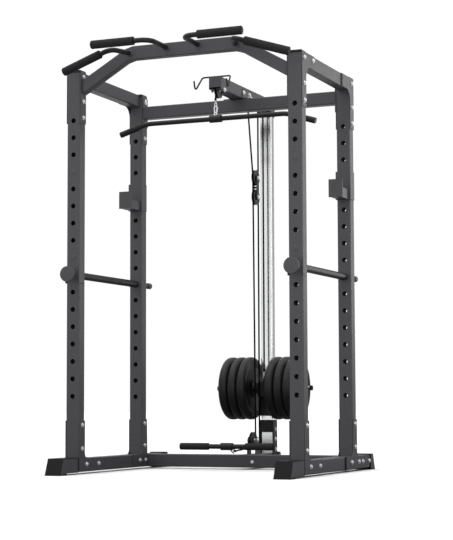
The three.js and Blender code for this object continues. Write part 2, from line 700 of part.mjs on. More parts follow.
function addSafetyBars() {
  const discY = FRONT_FACE - 68;
  const rear = POST_Y + UPRIGHT_DEEP / 2;
  const shaft = HOLE_RADIUS - 1.5;
  for (const [side, sx] of SIDES) {
    const x = sx * POST_X;
    const place = [x, SAFETY_Z];
    add(`${side}_safety_rod`, join(
      bar('y', shaft, discY, rear + 100, place, 12),
      bar('y', SAFETY_DISC, discY, discY + 12, place, 20),
      bar('y', 17, rear + 82, rear + 122, place, 12),
    ), painted());
    const bore = shaft + 1;
    const reach = POST_Y - UPRIGHT_DEEP / 2 - 1;
    const profile = [[bore, -reach], [SAFETY_SLEEVE, -reach], [SAFETY_SLEEVE, reach], [bore, reach]];
    add(`${side}_safety_sleeve`, turned('y', profile, 16).translate(x, 0, SAFETY_Z), painted());
  }
}

addUprights();
addBase();
addCentreRail();
addGussets();
addTopFrame();
addArch();
addArm();
addWheels();
addFloatingBlock();
addColumn();
addCarriage();
addWeightPlates();
addLatBar();
addRowBar();
addLatCable();
addRowCable();
addHooks();
addSafetyBars();

const part = new THREE.Group();
cage.position.y = -(FRONT_END + PLATES_REAR) / 2;
part.add(cage);

export default part;
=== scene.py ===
"""Finished looks for a four-post power cage with a plate-loaded cable tower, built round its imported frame.

Lengths are in metres. Places along the cage are measured from the middle of its four uprights at floor
level: +X is the user's right, +Y runs to the rear and +Z is up. The function spot() turns such a place
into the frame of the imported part.
"""

from __future__ import annotations

import json
import logging
import math
from dataclasses import dataclass, field
from enum import Enum
from typing import Sequence

import bmesh
import bpy
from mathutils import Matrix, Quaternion, Vector

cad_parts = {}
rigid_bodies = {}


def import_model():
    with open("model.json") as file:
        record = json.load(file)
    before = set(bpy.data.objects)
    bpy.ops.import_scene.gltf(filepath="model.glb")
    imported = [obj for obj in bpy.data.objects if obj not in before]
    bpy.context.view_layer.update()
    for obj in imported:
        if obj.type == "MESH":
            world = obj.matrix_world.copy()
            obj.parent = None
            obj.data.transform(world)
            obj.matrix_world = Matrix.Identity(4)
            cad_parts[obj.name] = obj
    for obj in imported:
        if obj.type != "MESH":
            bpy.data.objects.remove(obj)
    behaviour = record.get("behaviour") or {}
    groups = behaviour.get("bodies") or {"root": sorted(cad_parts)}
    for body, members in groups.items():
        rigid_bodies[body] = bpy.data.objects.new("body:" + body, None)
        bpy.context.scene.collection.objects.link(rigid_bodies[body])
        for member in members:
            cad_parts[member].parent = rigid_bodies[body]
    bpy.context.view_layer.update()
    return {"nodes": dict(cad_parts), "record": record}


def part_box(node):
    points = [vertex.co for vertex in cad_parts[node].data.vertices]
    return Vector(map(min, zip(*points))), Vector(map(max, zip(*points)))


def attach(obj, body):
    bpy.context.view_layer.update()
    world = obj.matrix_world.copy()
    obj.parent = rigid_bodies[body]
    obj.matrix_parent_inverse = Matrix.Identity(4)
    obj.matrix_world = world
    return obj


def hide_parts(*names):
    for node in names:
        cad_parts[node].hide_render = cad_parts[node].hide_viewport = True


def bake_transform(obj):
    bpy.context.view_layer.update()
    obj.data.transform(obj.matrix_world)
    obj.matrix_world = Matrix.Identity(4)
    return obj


for leftover in list(bpy.data.objects):
    bpy.data.objects.remove(leftover)
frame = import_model()
MIDDLE_Y = (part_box("left_front_upright")[0].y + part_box("left_rear_upright")[1].y) / 2
NODE_BODY = {n: b for b, nodes in frame["record"]["behaviour"]["bodies"].items() for n in nodes}

log = logging.getLogger("power_cage")

Pair = tuple[float, float]
Place = tuple[float, float, float]
Colour = tuple[float, float, float]


class Slot(Enum):
    """The record's material slots."""

    POWDER_COAT = "powder_coat"
    CHROME = "chrome"
    FOAM = "foam_grip"
    RUBBER = "rubber_plate"
    PLASTIC = "plastic_feet"
    NYLON = "nylon_pulley"
    CABLE = "coated_cable"
    ZINC = "zinc_link"


class Side(Enum):
    """Left or right, with its sign along X."""

    LEFT = -1
    RIGHT = 1

    @property
    def word(self) -> str:
        """The side's name as the nodes spell it."""
        return self.name.lower()


def spot(x: float, y: float, z: float) -> Vector:
    """A place measured from the middle of the uprights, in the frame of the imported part."""
    return Vector((x, y + MIDDLE_Y, z))


def centre_of(node: str) -> Vector:
    """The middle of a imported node's box."""
    low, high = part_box(node)
    return (low + high) / 2


def outer_x(side: Side, low: Vector, high: Vector) -> float:
    """The X of a box's face that looks away from the middle of the cage."""
    return high.x if side is Side.RIGHT else low.x


def inner_x(side: Side, low: Vector, high: Vector) -> float:
    """The X of a box's face that looks towards the middle of the cage."""
    return low.x if side is Side.RIGHT else high.x


# Shapes
@dataclass
class Shape:
    """Bare mesh data: corner points, and faces as rows of their numbers."""

    points: list[Vector] = field(default_factory=list)
    faces: list[tuple[int, ...]] = field(default_factory=list)

    def add(self, *others: "Shape") -> "Shape":
        """Joins other shapes to this one.

        Args:
            others: the shapes to take in.

        Returns:
            This shape.
        """
        for other in others:
            start = len(self.points)
            self.points.extend(other.points)
            self.faces.extend(tuple(i + start for i in face) for face in other.faces)
        return self

    def mesh(self, name: str) -> bpy.types.Mesh:
        """A Blender mesh of the shape, with its doubles merged and its faces turned outwards."""
        mesh = bpy.data.meshes.new(name)
        mesh.from_pydata([tuple(p) for p in self.points], [], self.faces)
        work = bmesh.new()
        work.from_mesh(mesh)
        bmesh.ops.remove_doubles(work, verts=work.verts, dist=1e-6)
        bmesh.ops.recalc_face_normals(work, faces=work.faces)
        work.to_mesh(mesh)
        work.free()
        return mesh


def shape_of(work: bmesh.types.BMesh) -> Shape:
    """Takes a shape out of a bmesh and frees it."""
    work.verts.index_update()
    made = Shape([v.co.copy() for v in work.verts], [tuple(v.index for v in f.verts) for f in work.faces])
    work.free()
    return made


def bevelled(shape: Shape, width: float, steps: int = 2, sharper_than: float = 28.0) -> Shape:
    """Rounds every edge of a shape that turns more sharply than an angle.

    Args:
        shape: the shape to round.
        width: how far the rounding reaches from the edge.
        steps: facets across the rounding.
        sharper_than: the least turn of an edge that is rounded, in degrees.

    Returns:
        The rounded shape.
    """
    work = bmesh.new()
    mesh = shape.mesh("bevel_work")
    work.from_mesh(mesh)
    bpy.data.meshes.remove(mesh)
    limit = math.radians(sharper_than)
    bmesh.ops.dissolve_limit(work, angle_limit=math.radians(1), verts=work.verts, edges=work.edges)
    edges = [e for e in work.edges if len(e.link_faces) == 2 and e.calc_face_angle(0) > limit]
    bmesh.ops.bevel(
        work, geom=edges, offset=width, segments=steps, profile=0.5, affect="EDGES", clamp_overlap=True)
    return shape_of(work)


def block(low: Vector, high: Vector, round_by: float = 0.001) -> Shape:
    """A solid rectangular block with rounded edges, between two corners."""
    a = Vector((min(low.x, high.x), min(low.y, high.y), min(low.z, high.z)))
    b = Vector((max(low.x, high.x), max(low.y, high.y), max(low.z, high.z)))
    points = [Vector((x, y, z)) for x in (a.x, b.x) for y in (a.y, b.y) for z in (a.z, b.z)]
    faces = [(0, 1, 3, 2), (4, 6, 7, 5), (0, 4, 5, 1), (2, 3, 7, 6), (0, 2, 6, 4), (1, 5, 7, 3)]
    return bevelled(Shape(points, faces), round_by)


def prism(outline: Sequence[Pair], axis: str, low: float, high: float, round_by: float = 0.001,
          sharper_than: float = 28.0) -> Shape:
    """A flat outline given a thickness.

    Args:
        outline: the outline's corners, as (y, z) for axis x, (x, z) for axis y and (x, y) for axis z.
        axis: the direction of the thickness.
        low: one end of the thickness.
        high: its other end.
        round_by: how far the edges are rounded.
        sharper_than: the least turn of an edge that is rounded, in degrees.

    Returns:
        The prism.
    """
    low, high = sorted((low, high))
    turn = {"x": lambda a, b, h: (h, a, b), "y": lambda a, b, h: (a, h, b), "z": lambda a, b, h: (a, b, h)}
    count = len(outline)
    points = [Vector(turn[axis](a, b, h)) for h in (low, high) for a, b in outline]
    faces: list[tuple[int, ...]] = [tuple(range(count)), tuple(range(2 * count - 1, count - 1, -1))]
    faces += [(i, (i + 1) % count, count + (i + 1) % count, count + i) for i in range(count)]
    return bevelled(Shape(points, faces), round_by, sharper_than=sharper_than)


def arc(centre: Pair, radius: float, start: float, end: float, steps: int = 8) -> list[Pair]:
    """Points along an arc, with its angles in degrees."""
    turns = [math.radians(start + (end - start) * i / steps) for i in range(steps + 1)]
    return [(centre[0] + radius * math.cos(t), centre[1] + radius * math.sin(t)) for t in turns]


def round_rectangle(low: Pair, high: Pair, corner: float, steps: int = 4) -> list[Pair]:
    """A rectangle's outline with rounded corners, starting at its high right corner."""
    (x0, y0), (x1, y1) = low, high
    c = corner
    return [*arc((x1 - c, y1 - c), c, 0, 90, steps), *arc((x0 + c, y1 - c), c, 90, 180, steps),
            *arc((x0 + c, y0 + c), c, 180, 270, steps), *arc((x1 - c, y0 + c), c, 270, 360, steps)]


def section_tube(axis: str, low: Vector, high: Vector, wall: float = 0.0025,
                 corner: float = 0.005) -> Shape:
    """A hollow rectangular section with rounded corners, open at both ends.

    Args:
        axis: the direction it runs in.
        low: its lowest corner.
        high: its highest corner.
        wall: the wall's thickness.
        corner: the outer corner radius.

    Returns:
        The tube.
    """
    a, b, h = {"x": (1, 2, 0), "y": (0, 2, 1), "z": (0, 1, 2)}[axis]
    outer = round_rectangle((low[a], low[b]), (high[a], high[b]), corner)
    inner = round_rectangle((low[a] + wall, low[b] + wall), (high[a] - wall, high[b] - wall), corner - wall)
    count = len(outer)
    points: list[Vector] = []
    for ring, height in ((outer, low[h]), (outer, high[h]), (inner, high[h]), (inner, low[h])):
        for p, q in ring:
            place = [0.0, 0.0, 0.0]
            place[a], place[b], place[h] = p, q, height
            points.append(Vector(place))
    faces = []
    for ring in range(4):
        following = (ring + 1) % 4
        for i in range(count):
            j = (i + 1) % count
            faces.append((ring * count + i, ring * count + j, following * count + j, following * count + i))
    return Shape(points, faces)


def lathe(profile: Sequence[Pair], start: Vector, direction: Vector, segments: int = 32,
          ring: bool = False) -> Shape:
    """A turned shape about any axis.

    Args:
        profile: pairs of radius and place along the axis, in order.
        start: the point that the places are measured from.
        direction: the axis.
        segments: facets round the axis.
        ring: whether the profile closes on itself, as on a ring or a tube.

    Returns:
        The turned shape, closed at its poles.
    """
    axis = direction.normalized()
    side = axis.orthogonal().normalized()
    other = axis.cross(side)
    points: list[Vector] = []
    rows: list[list[int]] = []
    for radius, place in profile:
        centre = start + axis * place
        if radius < 1e-7:
            points.append(centre)
            rows.append([len(points) - 1] * segments)
            continue
        row = []
        for i in range(segments):
            turn = 2 * math.pi * i / segments
            points.append(centre + (side * math.cos(turn) + other * math.sin(turn)) * radius)
            row.append(len(points) - 1)
        rows.append(row)
    faces: list[tuple[int, ...]] = []
    pairs = list(zip(rows, rows[1:] + ([rows[0]] if ring else [])))
    for here, there in pairs:
        for i in range(segments):
            j = (i + 1) % segments
            corners = list(dict.fromkeys((here[i], here[j], there[j], there[i])))
            if len(corners) > 2:
                faces.append(tuple(corners))
    if not ring:
        for row in (rows[0], rows[-1]):
            if len(set(row)) > 2:
                faces.append(tuple(row))
    return Shape(points, faces)


def solid_profile(radius: float, half: float) -> list[Pair]:
    """The lathe profile of a plain solid cylinder, to both sides of its middle."""
    return [(0.0, -half), (radius, -half), (radius, half), (0.0, half)]


def ring_profile(bore: float, radius: float, half: float) -> list[Pair]:
    """The lathe profile of a plain ring, to both sides of its middle."""
    return [(bore, -half), (radius, -half), (radius, half), (bore, half)]


def sleeve_profile(bore: float, radius: float, half: float) -> list[Pair]:
    """The lathe profile of a ring with its outer edges eased."""
    ease = 0.001
    return [(bore, -half), (radius - ease, -half), (radius, ease - half), (radius, half - ease),
            (radius - ease, half), (bore, half)]


def bent(corners: Sequence[Vector], radius: float, steps: int = 8) -> list[Vector]:
    """A path through corners, each inner corner rounded to a radius."""
    points = [corners[0]]
    for i in range(1, len(corners) - 1):
        back = (corners[i - 1] - corners[i]).normalized()
        ahead = (corners[i + 1] - corners[i]).normalized()
        half = back.angle(ahead) / 2
        centre = corners[i] + (back + ahead).normalized() * (radius / math.sin(half))
        spoke = corners[i] + back * (radius / math.tan(half)) - centre
        axis = ahead.cross(back).normalized()
        for k in range(steps + 1):
            turn = Quaternion(axis, (math.pi - 2 * half) * k / steps)
            points.append(centre + turn @ spoke)
    points.append(corners[-1])
    return points


def sweep(path: Sequence[Vector], radius: float | Sequence[float], sides: int = 16,
          loop: bool = False) -> Shape:
    """A round rod or tube skin along a path.

    Args:
        path: the points of its centre line.
        radius: its radius, or one radius for each point.
        sides: facets round it.
        loop: whether the path closes on itself.

    Returns:
        The rod, closed at both ends unless it loops.
    """
    count = len(path)
    radii = list(radius) if isinstance(radius, (list, tuple)) else [float(radius)] * count
    tangents = []
    for i in range(count):
        before = path[(i - 1) % count] if loop or i else path[i]
        after = path[(i + 1) % count] if loop or i < count - 1 else path[i]
        tangents.append((after - before).normalized())
    side = tangents[0].orthogonal().normalized()
    points: list[Vector] = []
    for i, (place, tangent) in enumerate(zip(path, tangents)):
        if i:
            side = (tangents[i - 1].rotation_difference(tangent) @ side).normalized()
        side = (side - tangent * side.dot(tangent)).normalized()
        other = tangent.cross(side)
        for k in range(sides):
            turn = 2 * math.pi * k / sides
            points.append(place + (side * math.cos(turn) + other * math.sin(turn)) * radii[i])
    faces: list[tuple[int, ...]] = []
    for i in range(count if loop else count - 1):
        a, b = i * sides, ((i + 1) % count) * sides
        faces += [(a + k, a + (k + 1) % sides, b + (k + 1) % sides, b + k) for k in range(sides)]
    if not loop:
        faces += [tuple(range(sides)), tuple(range(count * sides - 1, (count - 1) * sides - 1, -1))]
    return Shape(points, faces)


def softened_copy(node: str, width: float, steps: int = 2) -> Shape:
    """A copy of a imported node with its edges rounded."""
    mesh = frame["nodes"][node].data
    shape = Shape([v.co.copy() for v in mesh.vertices], [tuple(p.vertices) for p in mesh.polygons])
    return bevelled(shape, width, steps)


# Objects
def settle(piece: bpy.types.Object) -> None:
    """Turns what a piece's modifiers make into its own plain mesh."""
    graph = bpy.context.evaluated_depsgraph_get()
    mesh = bpy.data.meshes.new_from_object(
        piece.evaluated_get(graph), preserve_all_data_layers=True, depsgraph=graph)
    old = piece.data
    piece.modifiers.clear()
    piece.data = mesh
    mesh.name = piece.name
    bpy.data.meshes.remove(old)


def new_object(name: str, shape: Shape) -> bpy.types.Object:
    """A piece made of a shape, linked to the scene."""
    piece = bpy.data.objects.new(name, shape.mesh(name))
    bpy.context.scene.collection.objects.link(piece)
    return piece


def shade(piece: bpy.types.Object, crease: float = 38.0) -> None:
    """Smooth shading that keeps flat faces flat and sharp edges sharp.

    Args:
        piece: the piece to shade.
        crease: the least turn that stays a sharp edge, in degrees.
    """
    for face in piece.data.polygons:
        face.use_smooth = True
    piece.data.set_sharp_from_angle(angle=math.radians(crease))
    weighted = piece.modifiers.new("weighted", "WEIGHTED_NORMAL")
    weighted.keep_sharp = True
    settle(piece)


def finish_piece(piece: bpy.types.Object, body: str, dress: "Dress", nodes: Sequence[str] = ()) -> bpy.types.Object:
    """Dresses a piece, and lets it ride on its body.

    Args:
        piece: the finished mesh.
        body: the body that it moves with.
        dress: its material and slot.
        nodes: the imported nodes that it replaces.

    Returns:
        The piece.
    """
    piece.data.materials.clear()
    piece.data.materials.append(dress.material)
    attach(piece, body)
    if nodes:
        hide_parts(*nodes)
    log.info("%s rides on %s: %d faces", piece.name, body, len(piece.data.polygons))
    return piece


def make(name: str, shape: Shape, body: str, dress: "Dress", nodes: Sequence[str] = ()) -> bpy.types.Object:
    """Makes, shades and dresses a piece in one go."""
    piece = new_object(name, shape)
    shade(piece)
    return finish_piece(piece, body, dress, nodes)


# Finishes
class Graph:
    """A small helper that places nodes in a tree and joins them up."""

    def __init__(self, tree: bpy.types.NodeTree) -> None:
        """Takes the tree to work in."""
        self.tree = tree

    def node(self, kind: str, inputs: dict | None = None, **settings: object) -> bpy.types.Node:
        """Adds a node.

        Args:
            kind: the node's type name.
            inputs: socket name or number, to a plain value or an output socket.
            settings: the node's own properties.

        Returns:
            The node.
        """
        made = self.tree.nodes.new(kind)
        for key, value in settings.items():
            setattr(made, key, value)
        for key, value in (inputs or {}).items():
            if isinstance(value, bpy.types.NodeSocket):
                self.tree.links.new(value, made.inputs[key])
            else:
                made.inputs[key].default_value = value
        return made

    def sum(self, kind: str, first: object, second: object) -> bpy.types.NodeSocket:
        """The result of a Math node with two inputs."""
        return self.node("ShaderNodeMath", {0: first, 1: second}, operation=kind).outputs[0]


def effect_group(name: str, inputs: dict[str, tuple[str, object]], outputs: dict[str, str]) -> Graph:
    """Starts a shader node group with named sockets.

    Args:
        name: the group's name.
        inputs: socket name to its type and starting value.
        outputs: socket name to its type.

    Returns:
        A graph of the empty group.
    """
    tree = bpy.data.node_groups.new(name, "ShaderNodeTree")
    for label, (kind, value) in inputs.items():
        socket = tree.interface.new_socket(name=label, in_out="INPUT", socket_type=kind)
        socket.default_value = value
    for label, kind in outputs.items():
        tree.interface.new_socket(name=label, in_out="OUTPUT", socket_type=kind)
    return Graph(tree)


def grain_group() -> None:
    """Fine all-over texture: an even pebble with a slower waviness under it."""
    graph = effect_group(
        "fine_grain", {"Scale": ("NodeSocketFloat", 900.0), "Waviness": ("NodeSocketFloat", 0.3),
            "Pebble": ("NodeSocketFloat", 0.7)}, {"Height": "NodeSocketFloat", "Tone": "NodeSocketFloat"})
    given = graph.node("NodeGroupInput")
    place = graph.node("ShaderNodeTexCoord").outputs["Object"]
    fine = graph.node(
        "ShaderNodeTexNoise", {"Vector": place, "Scale": given.outputs["Scale"], "Detail": 2.0,
            "Roughness": 0.5})
    slower = graph.sum("MULTIPLY", given.outputs["Scale"], 0.12)
    slow = graph.node(
        "ShaderNodeTexNoise", {"Vector": place, "Scale": slower, "Detail": 3.0, "Roughness": 0.55})
    pebble = graph.sum("MULTIPLY", fine.outputs[0], given.outputs["Pebble"])
    wave = graph.sum("MULTIPLY", slow.outputs[0], given.outputs["Waviness"])
    total = graph.sum("ADD", pebble, wave)
    graph.node("NodeGroupOutput", {"Height": total, "Tone": slow.outputs[0]})


def dust_group() -> None:
    """Thin dust: strongest on faces that look up, and broken into patches."""
    graph = effect_group(
        "settled_dust", {"Amount": ("NodeSocketFloat", 0.1), "Patch": ("NodeSocketFloat", 9.0)},
        {"Mask": "NodeSocketFloat"})
    given = graph.node("NodeGroupInput")
    place = graph.node("ShaderNodeTexCoord").outputs["Object"]
    normal = graph.node("ShaderNodeNewGeometry").outputs["Normal"]
    up = graph.node("ShaderNodeSeparateXYZ", {0: normal}).outputs["Z"]
    facing = graph.node("ShaderNodeMapRange", {"Value": up, "From Min": 0.2, "From Max": 1.0}).outputs[0]
    patches = graph.node(
        "ShaderNodeTexNoise", {"Vector": place, "Scale": given.outputs["Patch"], "Detail": 6.0,
            "Roughness": 0.65}).outputs[0]
    broken = graph.node(
        "ShaderNodeMapRange", {"Value": patches, "From Min": 0.35, "From Max": 0.75}).outputs[0]
    lying = graph.sum("MULTIPLY", facing, broken)
    graph.node("NodeGroupOutput", {"Mask": graph.sum("MULTIPLY", lying, given.outputs["Amount"])})


def scuff_group() -> None:
    """Long faint rub marks, where bars, plates and hands pass."""
    graph = effect_group(
        "rub_marks", {"Amount": ("NodeSocketFloat", 0.2), "Length": ("NodeSocketFloat", 14.0)},
        {"Mask": "NodeSocketFloat"})
    given = graph.node("NodeGroupInput")
    place = graph.node("ShaderNodeTexCoord").outputs["Object"]
    drawn = graph.node(
        "ShaderNodeMapping", {"Vector": place, "Scale": (9.0, 9.0, 1.0),
            "Rotation": (0.1, 0.25, 0.0)}).outputs[0]
    marks = graph.node(
        "ShaderNodeTexNoise", {"Vector": drawn, "Scale": given.outputs["Length"], "Detail": 8.0,
            "Roughness": 0.7}).outputs[0]
    thin = graph.node("ShaderNodeMapRange", {"Value": marks, "From Min": 0.62, "From Max": 0.78}).outputs[0]
    graph.node("NodeGroupOutput", {"Mask": graph.sum("MULTIPLY", thin, given.outputs["Amount"])})


@dataclass(frozen=True)
class Dress:
    """A finish's material, with the record's slot that it stands for."""

    material: bpy.types.Material
    slot: Slot


@dataclass(frozen=True)
class Finish:
    """One surface finish of the cage, and how its detail is scaled."""

    name: str
    slot: Slot
    colour: Colour
    shift: Colour
    roughness: float
    roughness_spread: float = 0.08
    metallic: float = 0.0
    grain: float = 900.0
    waviness: float = 0.3
    pebble: float = 0.7
    relief: float = 0.00008
    bump: float = 0.35
    dust: float = 0.08
    dust_colour: Colour = (0.30, 0.29, 0.28)
    scuffs: float = 0.15
    scuff_colour: Colour = (0.12, 0.12, 0.125)
    cells: float = 0.0
    specular: float = 0.5

    def build(self) -> Dress:
        """Builds the material, with its colour, roughness and relief driven by the shared effects."""
        material = bpy.data.materials.new(self.name)
        material.use_nodes = True
        material.node_tree.nodes.clear()
        graph = Graph(material.node_tree)
        grain = graph.node("ShaderNodeGroup", node_tree=bpy.data.node_groups["fine_grain"])
        grain.inputs["Scale"].default_value = self.grain
        grain.inputs["Waviness"].default_value = self.waviness
        grain.inputs["Pebble"].default_value = self.pebble
        dust = graph.node("ShaderNodeGroup", node_tree=bpy.data.node_groups["settled_dust"])
        dust.inputs["Amount"].default_value = self.dust
        scuff = graph.node("ShaderNodeGroup", node_tree=bpy.data.node_groups["rub_marks"])
        scuff.inputs["Amount"].default_value = self.scuffs
        tone = graph.node(
            "ShaderNodeMapRange", {"Value": grain.outputs["Tone"], "From Min": 0.3,
                "From Max": 0.7}).outputs[0]
        base = self.mix(graph, tone, (*self.colour, 1.0), (*self.shift, 1.0))
        rubbed = self.mix(graph, scuff.outputs["Mask"], base, (*self.scuff_colour, 1.0))
        dusty = self.mix(graph, dust.outputs["Mask"], rubbed, (*self.dust_colour, 1.0))
        low = max(0.02, self.roughness - self.roughness_spread)
        rough = graph.node(
            "ShaderNodeMapRange", {"Value": grain.outputs["Tone"], "From Min": 0.25, "From Max": 0.75,
                "To Min": low, "To Max": self.roughness + self.roughness_spread}).outputs[0]
        rougher = graph.sum("ADD", rough, graph.sum("MULTIPLY", dust.outputs["Mask"], 0.5))
        height = grain.outputs["Height"]
        if self.cells:
            height = graph.sum("ADD", height, self.cell_relief(graph))
        bump = graph.node(
            "ShaderNodeBump", {"Height": height, "Strength": self.bump, "Distance": self.relief})
        shader = graph.node(
            "ShaderNodeBsdfPrincipled", {"Base Color": dusty, "Roughness": rougher,
                "Metallic": self.metallic, "Normal": bump.outputs[0]})
        shader.inputs["Specular IOR Level"].default_value = self.specular
        graph.node("ShaderNodeOutputMaterial", {"Surface": shader.outputs[0]})
        return Dress(material, self.slot)

    def mix(self, graph: Graph, share: bpy.types.NodeSocket, first: object,
            second: object) -> bpy.types.NodeSocket:
        """A colour between two others."""
        node = graph.node("ShaderNodeMix", data_type="RGBA")
        graph.tree.links.new(share, node.inputs[0])
        for index, value in ((6, first), (7, second)):
            if isinstance(value, bpy.types.NodeSocket):
                graph.tree.links.new(value, node.inputs[index])
            else:
                node.inputs[index].default_value = value
        return node.outputs[2]

    def cell_relief(self, graph: Graph) -> bpy.types.NodeSocket:
        """The small closed cells of foam, or the moulded stipple of rubber."""
        place = graph.node("ShaderNodeTexCoord").outputs["Object"]
        cells = graph.node("ShaderNodeTexVoronoi", {"Vector": place, "Scale": self.cells})
        return graph.sum("MULTIPLY", cells.outputs["Distance"], 0.9)


@dataclass
class Wardrobe:
    """Every finish on the cage, built once."""

    paint: Dress
    black_steel: Dress
    chrome: Dress
    zinc: Dress
    foam: Dress
    rubber: Dress
    feet: Dress
    nylon: Dress
    cable: Dress
    steel_hub: Dress

    @classmethod
    def build(cls) -> "Wardrobe":
        """Builds the shared effects and then each finish."""
        grain_group()
        dust_group()
        scuff_group()
        return cls(
            paint=Finish("charcoal_powder_coat", Slot.POWDER_COAT, (0.049, 0.048, 0.053),
                (0.059, 0.058, 0.064), 0.46, grain=1100.0, relief=0.00012, bump=0.45,
                specular=0.46).build(), black_steel=Finish("black_powder_coat", Slot.POWDER_COAT,
                (0.012, 0.012, 0.013), (0.017, 0.017, 0.018), 0.38, grain=1100.0, relief=0.0001, bump=0.4,
                specular=0.22, scuffs=0.08).build(), chrome=Finish("chrome_plate", Slot.CHROME,
                (0.92, 0.94, 0.94), (0.96, 0.97, 0.97), 0.18, 0.02, 1.0, grain=260.0, relief=0.0,
                bump=0.0, dust=0.03, scuffs=0.08, scuff_colour=(0.75, 0.77, 0.78)).build(),
            zinc=Finish("zinc_plate", Slot.ZINC, (0.84, 0.85, 0.86), (0.92, 0.92, 0.93), 0.50, 0.08, 1.0,
                grain=700.0, relief=0.00004, bump=0.2, dust=0.06, scuffs=0.2,
                scuff_colour=(0.4, 0.4, 0.42)).build(), foam=Finish("closed_cell_foam", Slot.FOAM,
                (0.009, 0.009, 0.010), (0.015, 0.015, 0.016), 0.80, 0.06, grain=1500.0, relief=0.0004,
                bump=0.5, cells=420.0, scuffs=0.05, dust=0.04, scuff_colour=(0.03, 0.03, 0.032),
                specular=0.30).build(), rubber=Finish("moulded_rubber", Slot.RUBBER,
                (0.0055, 0.0055, 0.006), (0.010, 0.010, 0.011), 0.42, 0.08, grain=900.0, relief=0.0002,
                bump=0.35, cells=900.0, dust=0.03, scuffs=0.18, scuff_colour=(0.028, 0.028, 0.030),
                specular=0.30).build(), feet=Finish("moulded_foot_plastic", Slot.PLASTIC,
                (0.002, 0.002, 0.0022), (0.0035, 0.0035, 0.004), 0.46, 0.06, grain=700.0, relief=0.0002,
                bump=0.5, cells=650.0, dust=0.002, specular=0.16).build(),
            nylon=Finish("turned_nylon", Slot.NYLON, (0.008, 0.008, 0.008), (0.014, 0.014, 0.014), 0.36,
                0.06, grain=500.0, relief=0.00006, bump=0.25, dust=0.03, specular=0.35).build(),
            cable=Finish("coated_steel_cable", Slot.CABLE, (0.003, 0.003, 0.003), (0.005, 0.005, 0.005),
                0.80, 0.08, grain=1400.0, relief=0.00008, bump=0.4, dust=0.01, scuffs=0.1,
                scuff_colour=(0.012, 0.012, 0.012), specular=0.03).build(),
            steel_hub=Finish("turned_steel", Slot.ZINC, (0.30, 0.30, 0.31), (0.36, 0.36, 0.37), 0.33,
                0.08, 1.0, grain=900.0, relief=0.00005, bump=0.3).build(), )


# Geometry node trees
class RepeatTree:
    """A geometry node tree that makes something repeated, with named inputs."""

    def __init__(self, name: str, sockets: dict[str, tuple[str, object]]) -> None:
        """Starts the tree.

        Args:
            name: the tree's name.
            sockets: input name to its type and starting value.
        """
        self.tree = bpy.data.node_groups.new(name, "GeometryNodeTree")
        face = self.tree.interface
        face.new_socket(name="Geometry", in_out="INPUT", socket_type="NodeSocketGeometry")
        for label, (kind, value) in sockets.items():
            socket = face.new_socket(name=label, in_out="INPUT", socket_type=kind)
            if value is not None:
                socket.default_value = value
        face.new_socket(name="Finish", in_out="INPUT", socket_type="NodeSocketMaterial")
        face.new_socket(name="Geometry", in_out="OUTPUT", socket_type="NodeSocketGeometry")
        self.graph = Graph(self.tree)
        self.given = self.graph.node("NodeGroupInput").outputs

    def close(self, made: bpy.types.NodeSocket) -> None:
        """Ends the tree: instances become real and take the finish."""
        real = self.graph.node("GeometryNodeRealizeInstances", {0: made}).outputs[0]
        dressed = self.graph.node(
            "GeometryNodeSetMaterial", {"Geometry": real, "Material": self.given["Finish"]})
        self.graph.node("NodeGroupOutput", {0: dressed.outputs[0]})

    def run(self, piece: bpy.types.Object, dress: Dress, **values: object) -> None:
        """Runs the tree on a piece and keeps the result as its plain mesh.

        Args:
            piece: the piece whose mesh goes in.
            dress: the finish that the result takes.
            values: input values, with _ for each space in a socket's name.
        """
        modifier = piece.modifiers.new(self.tree.name, "NODES")
        modifier.node_group = self.tree
        wanted = {key.replace("_", " "): value for key, value in values.items()}
        wanted["Finish"] = dress.material
        for item in self.tree.interface.items_tree:
            if item.item_type == "SOCKET" and item.in_out == "INPUT" and item.name in wanted:
                modifier[item.identifier] = wanted.pop(item.name)
        if wanted:
            raise ValueError(f"{self.tree.name} has no input named {sorted(wanted)}")
        settle(piece)


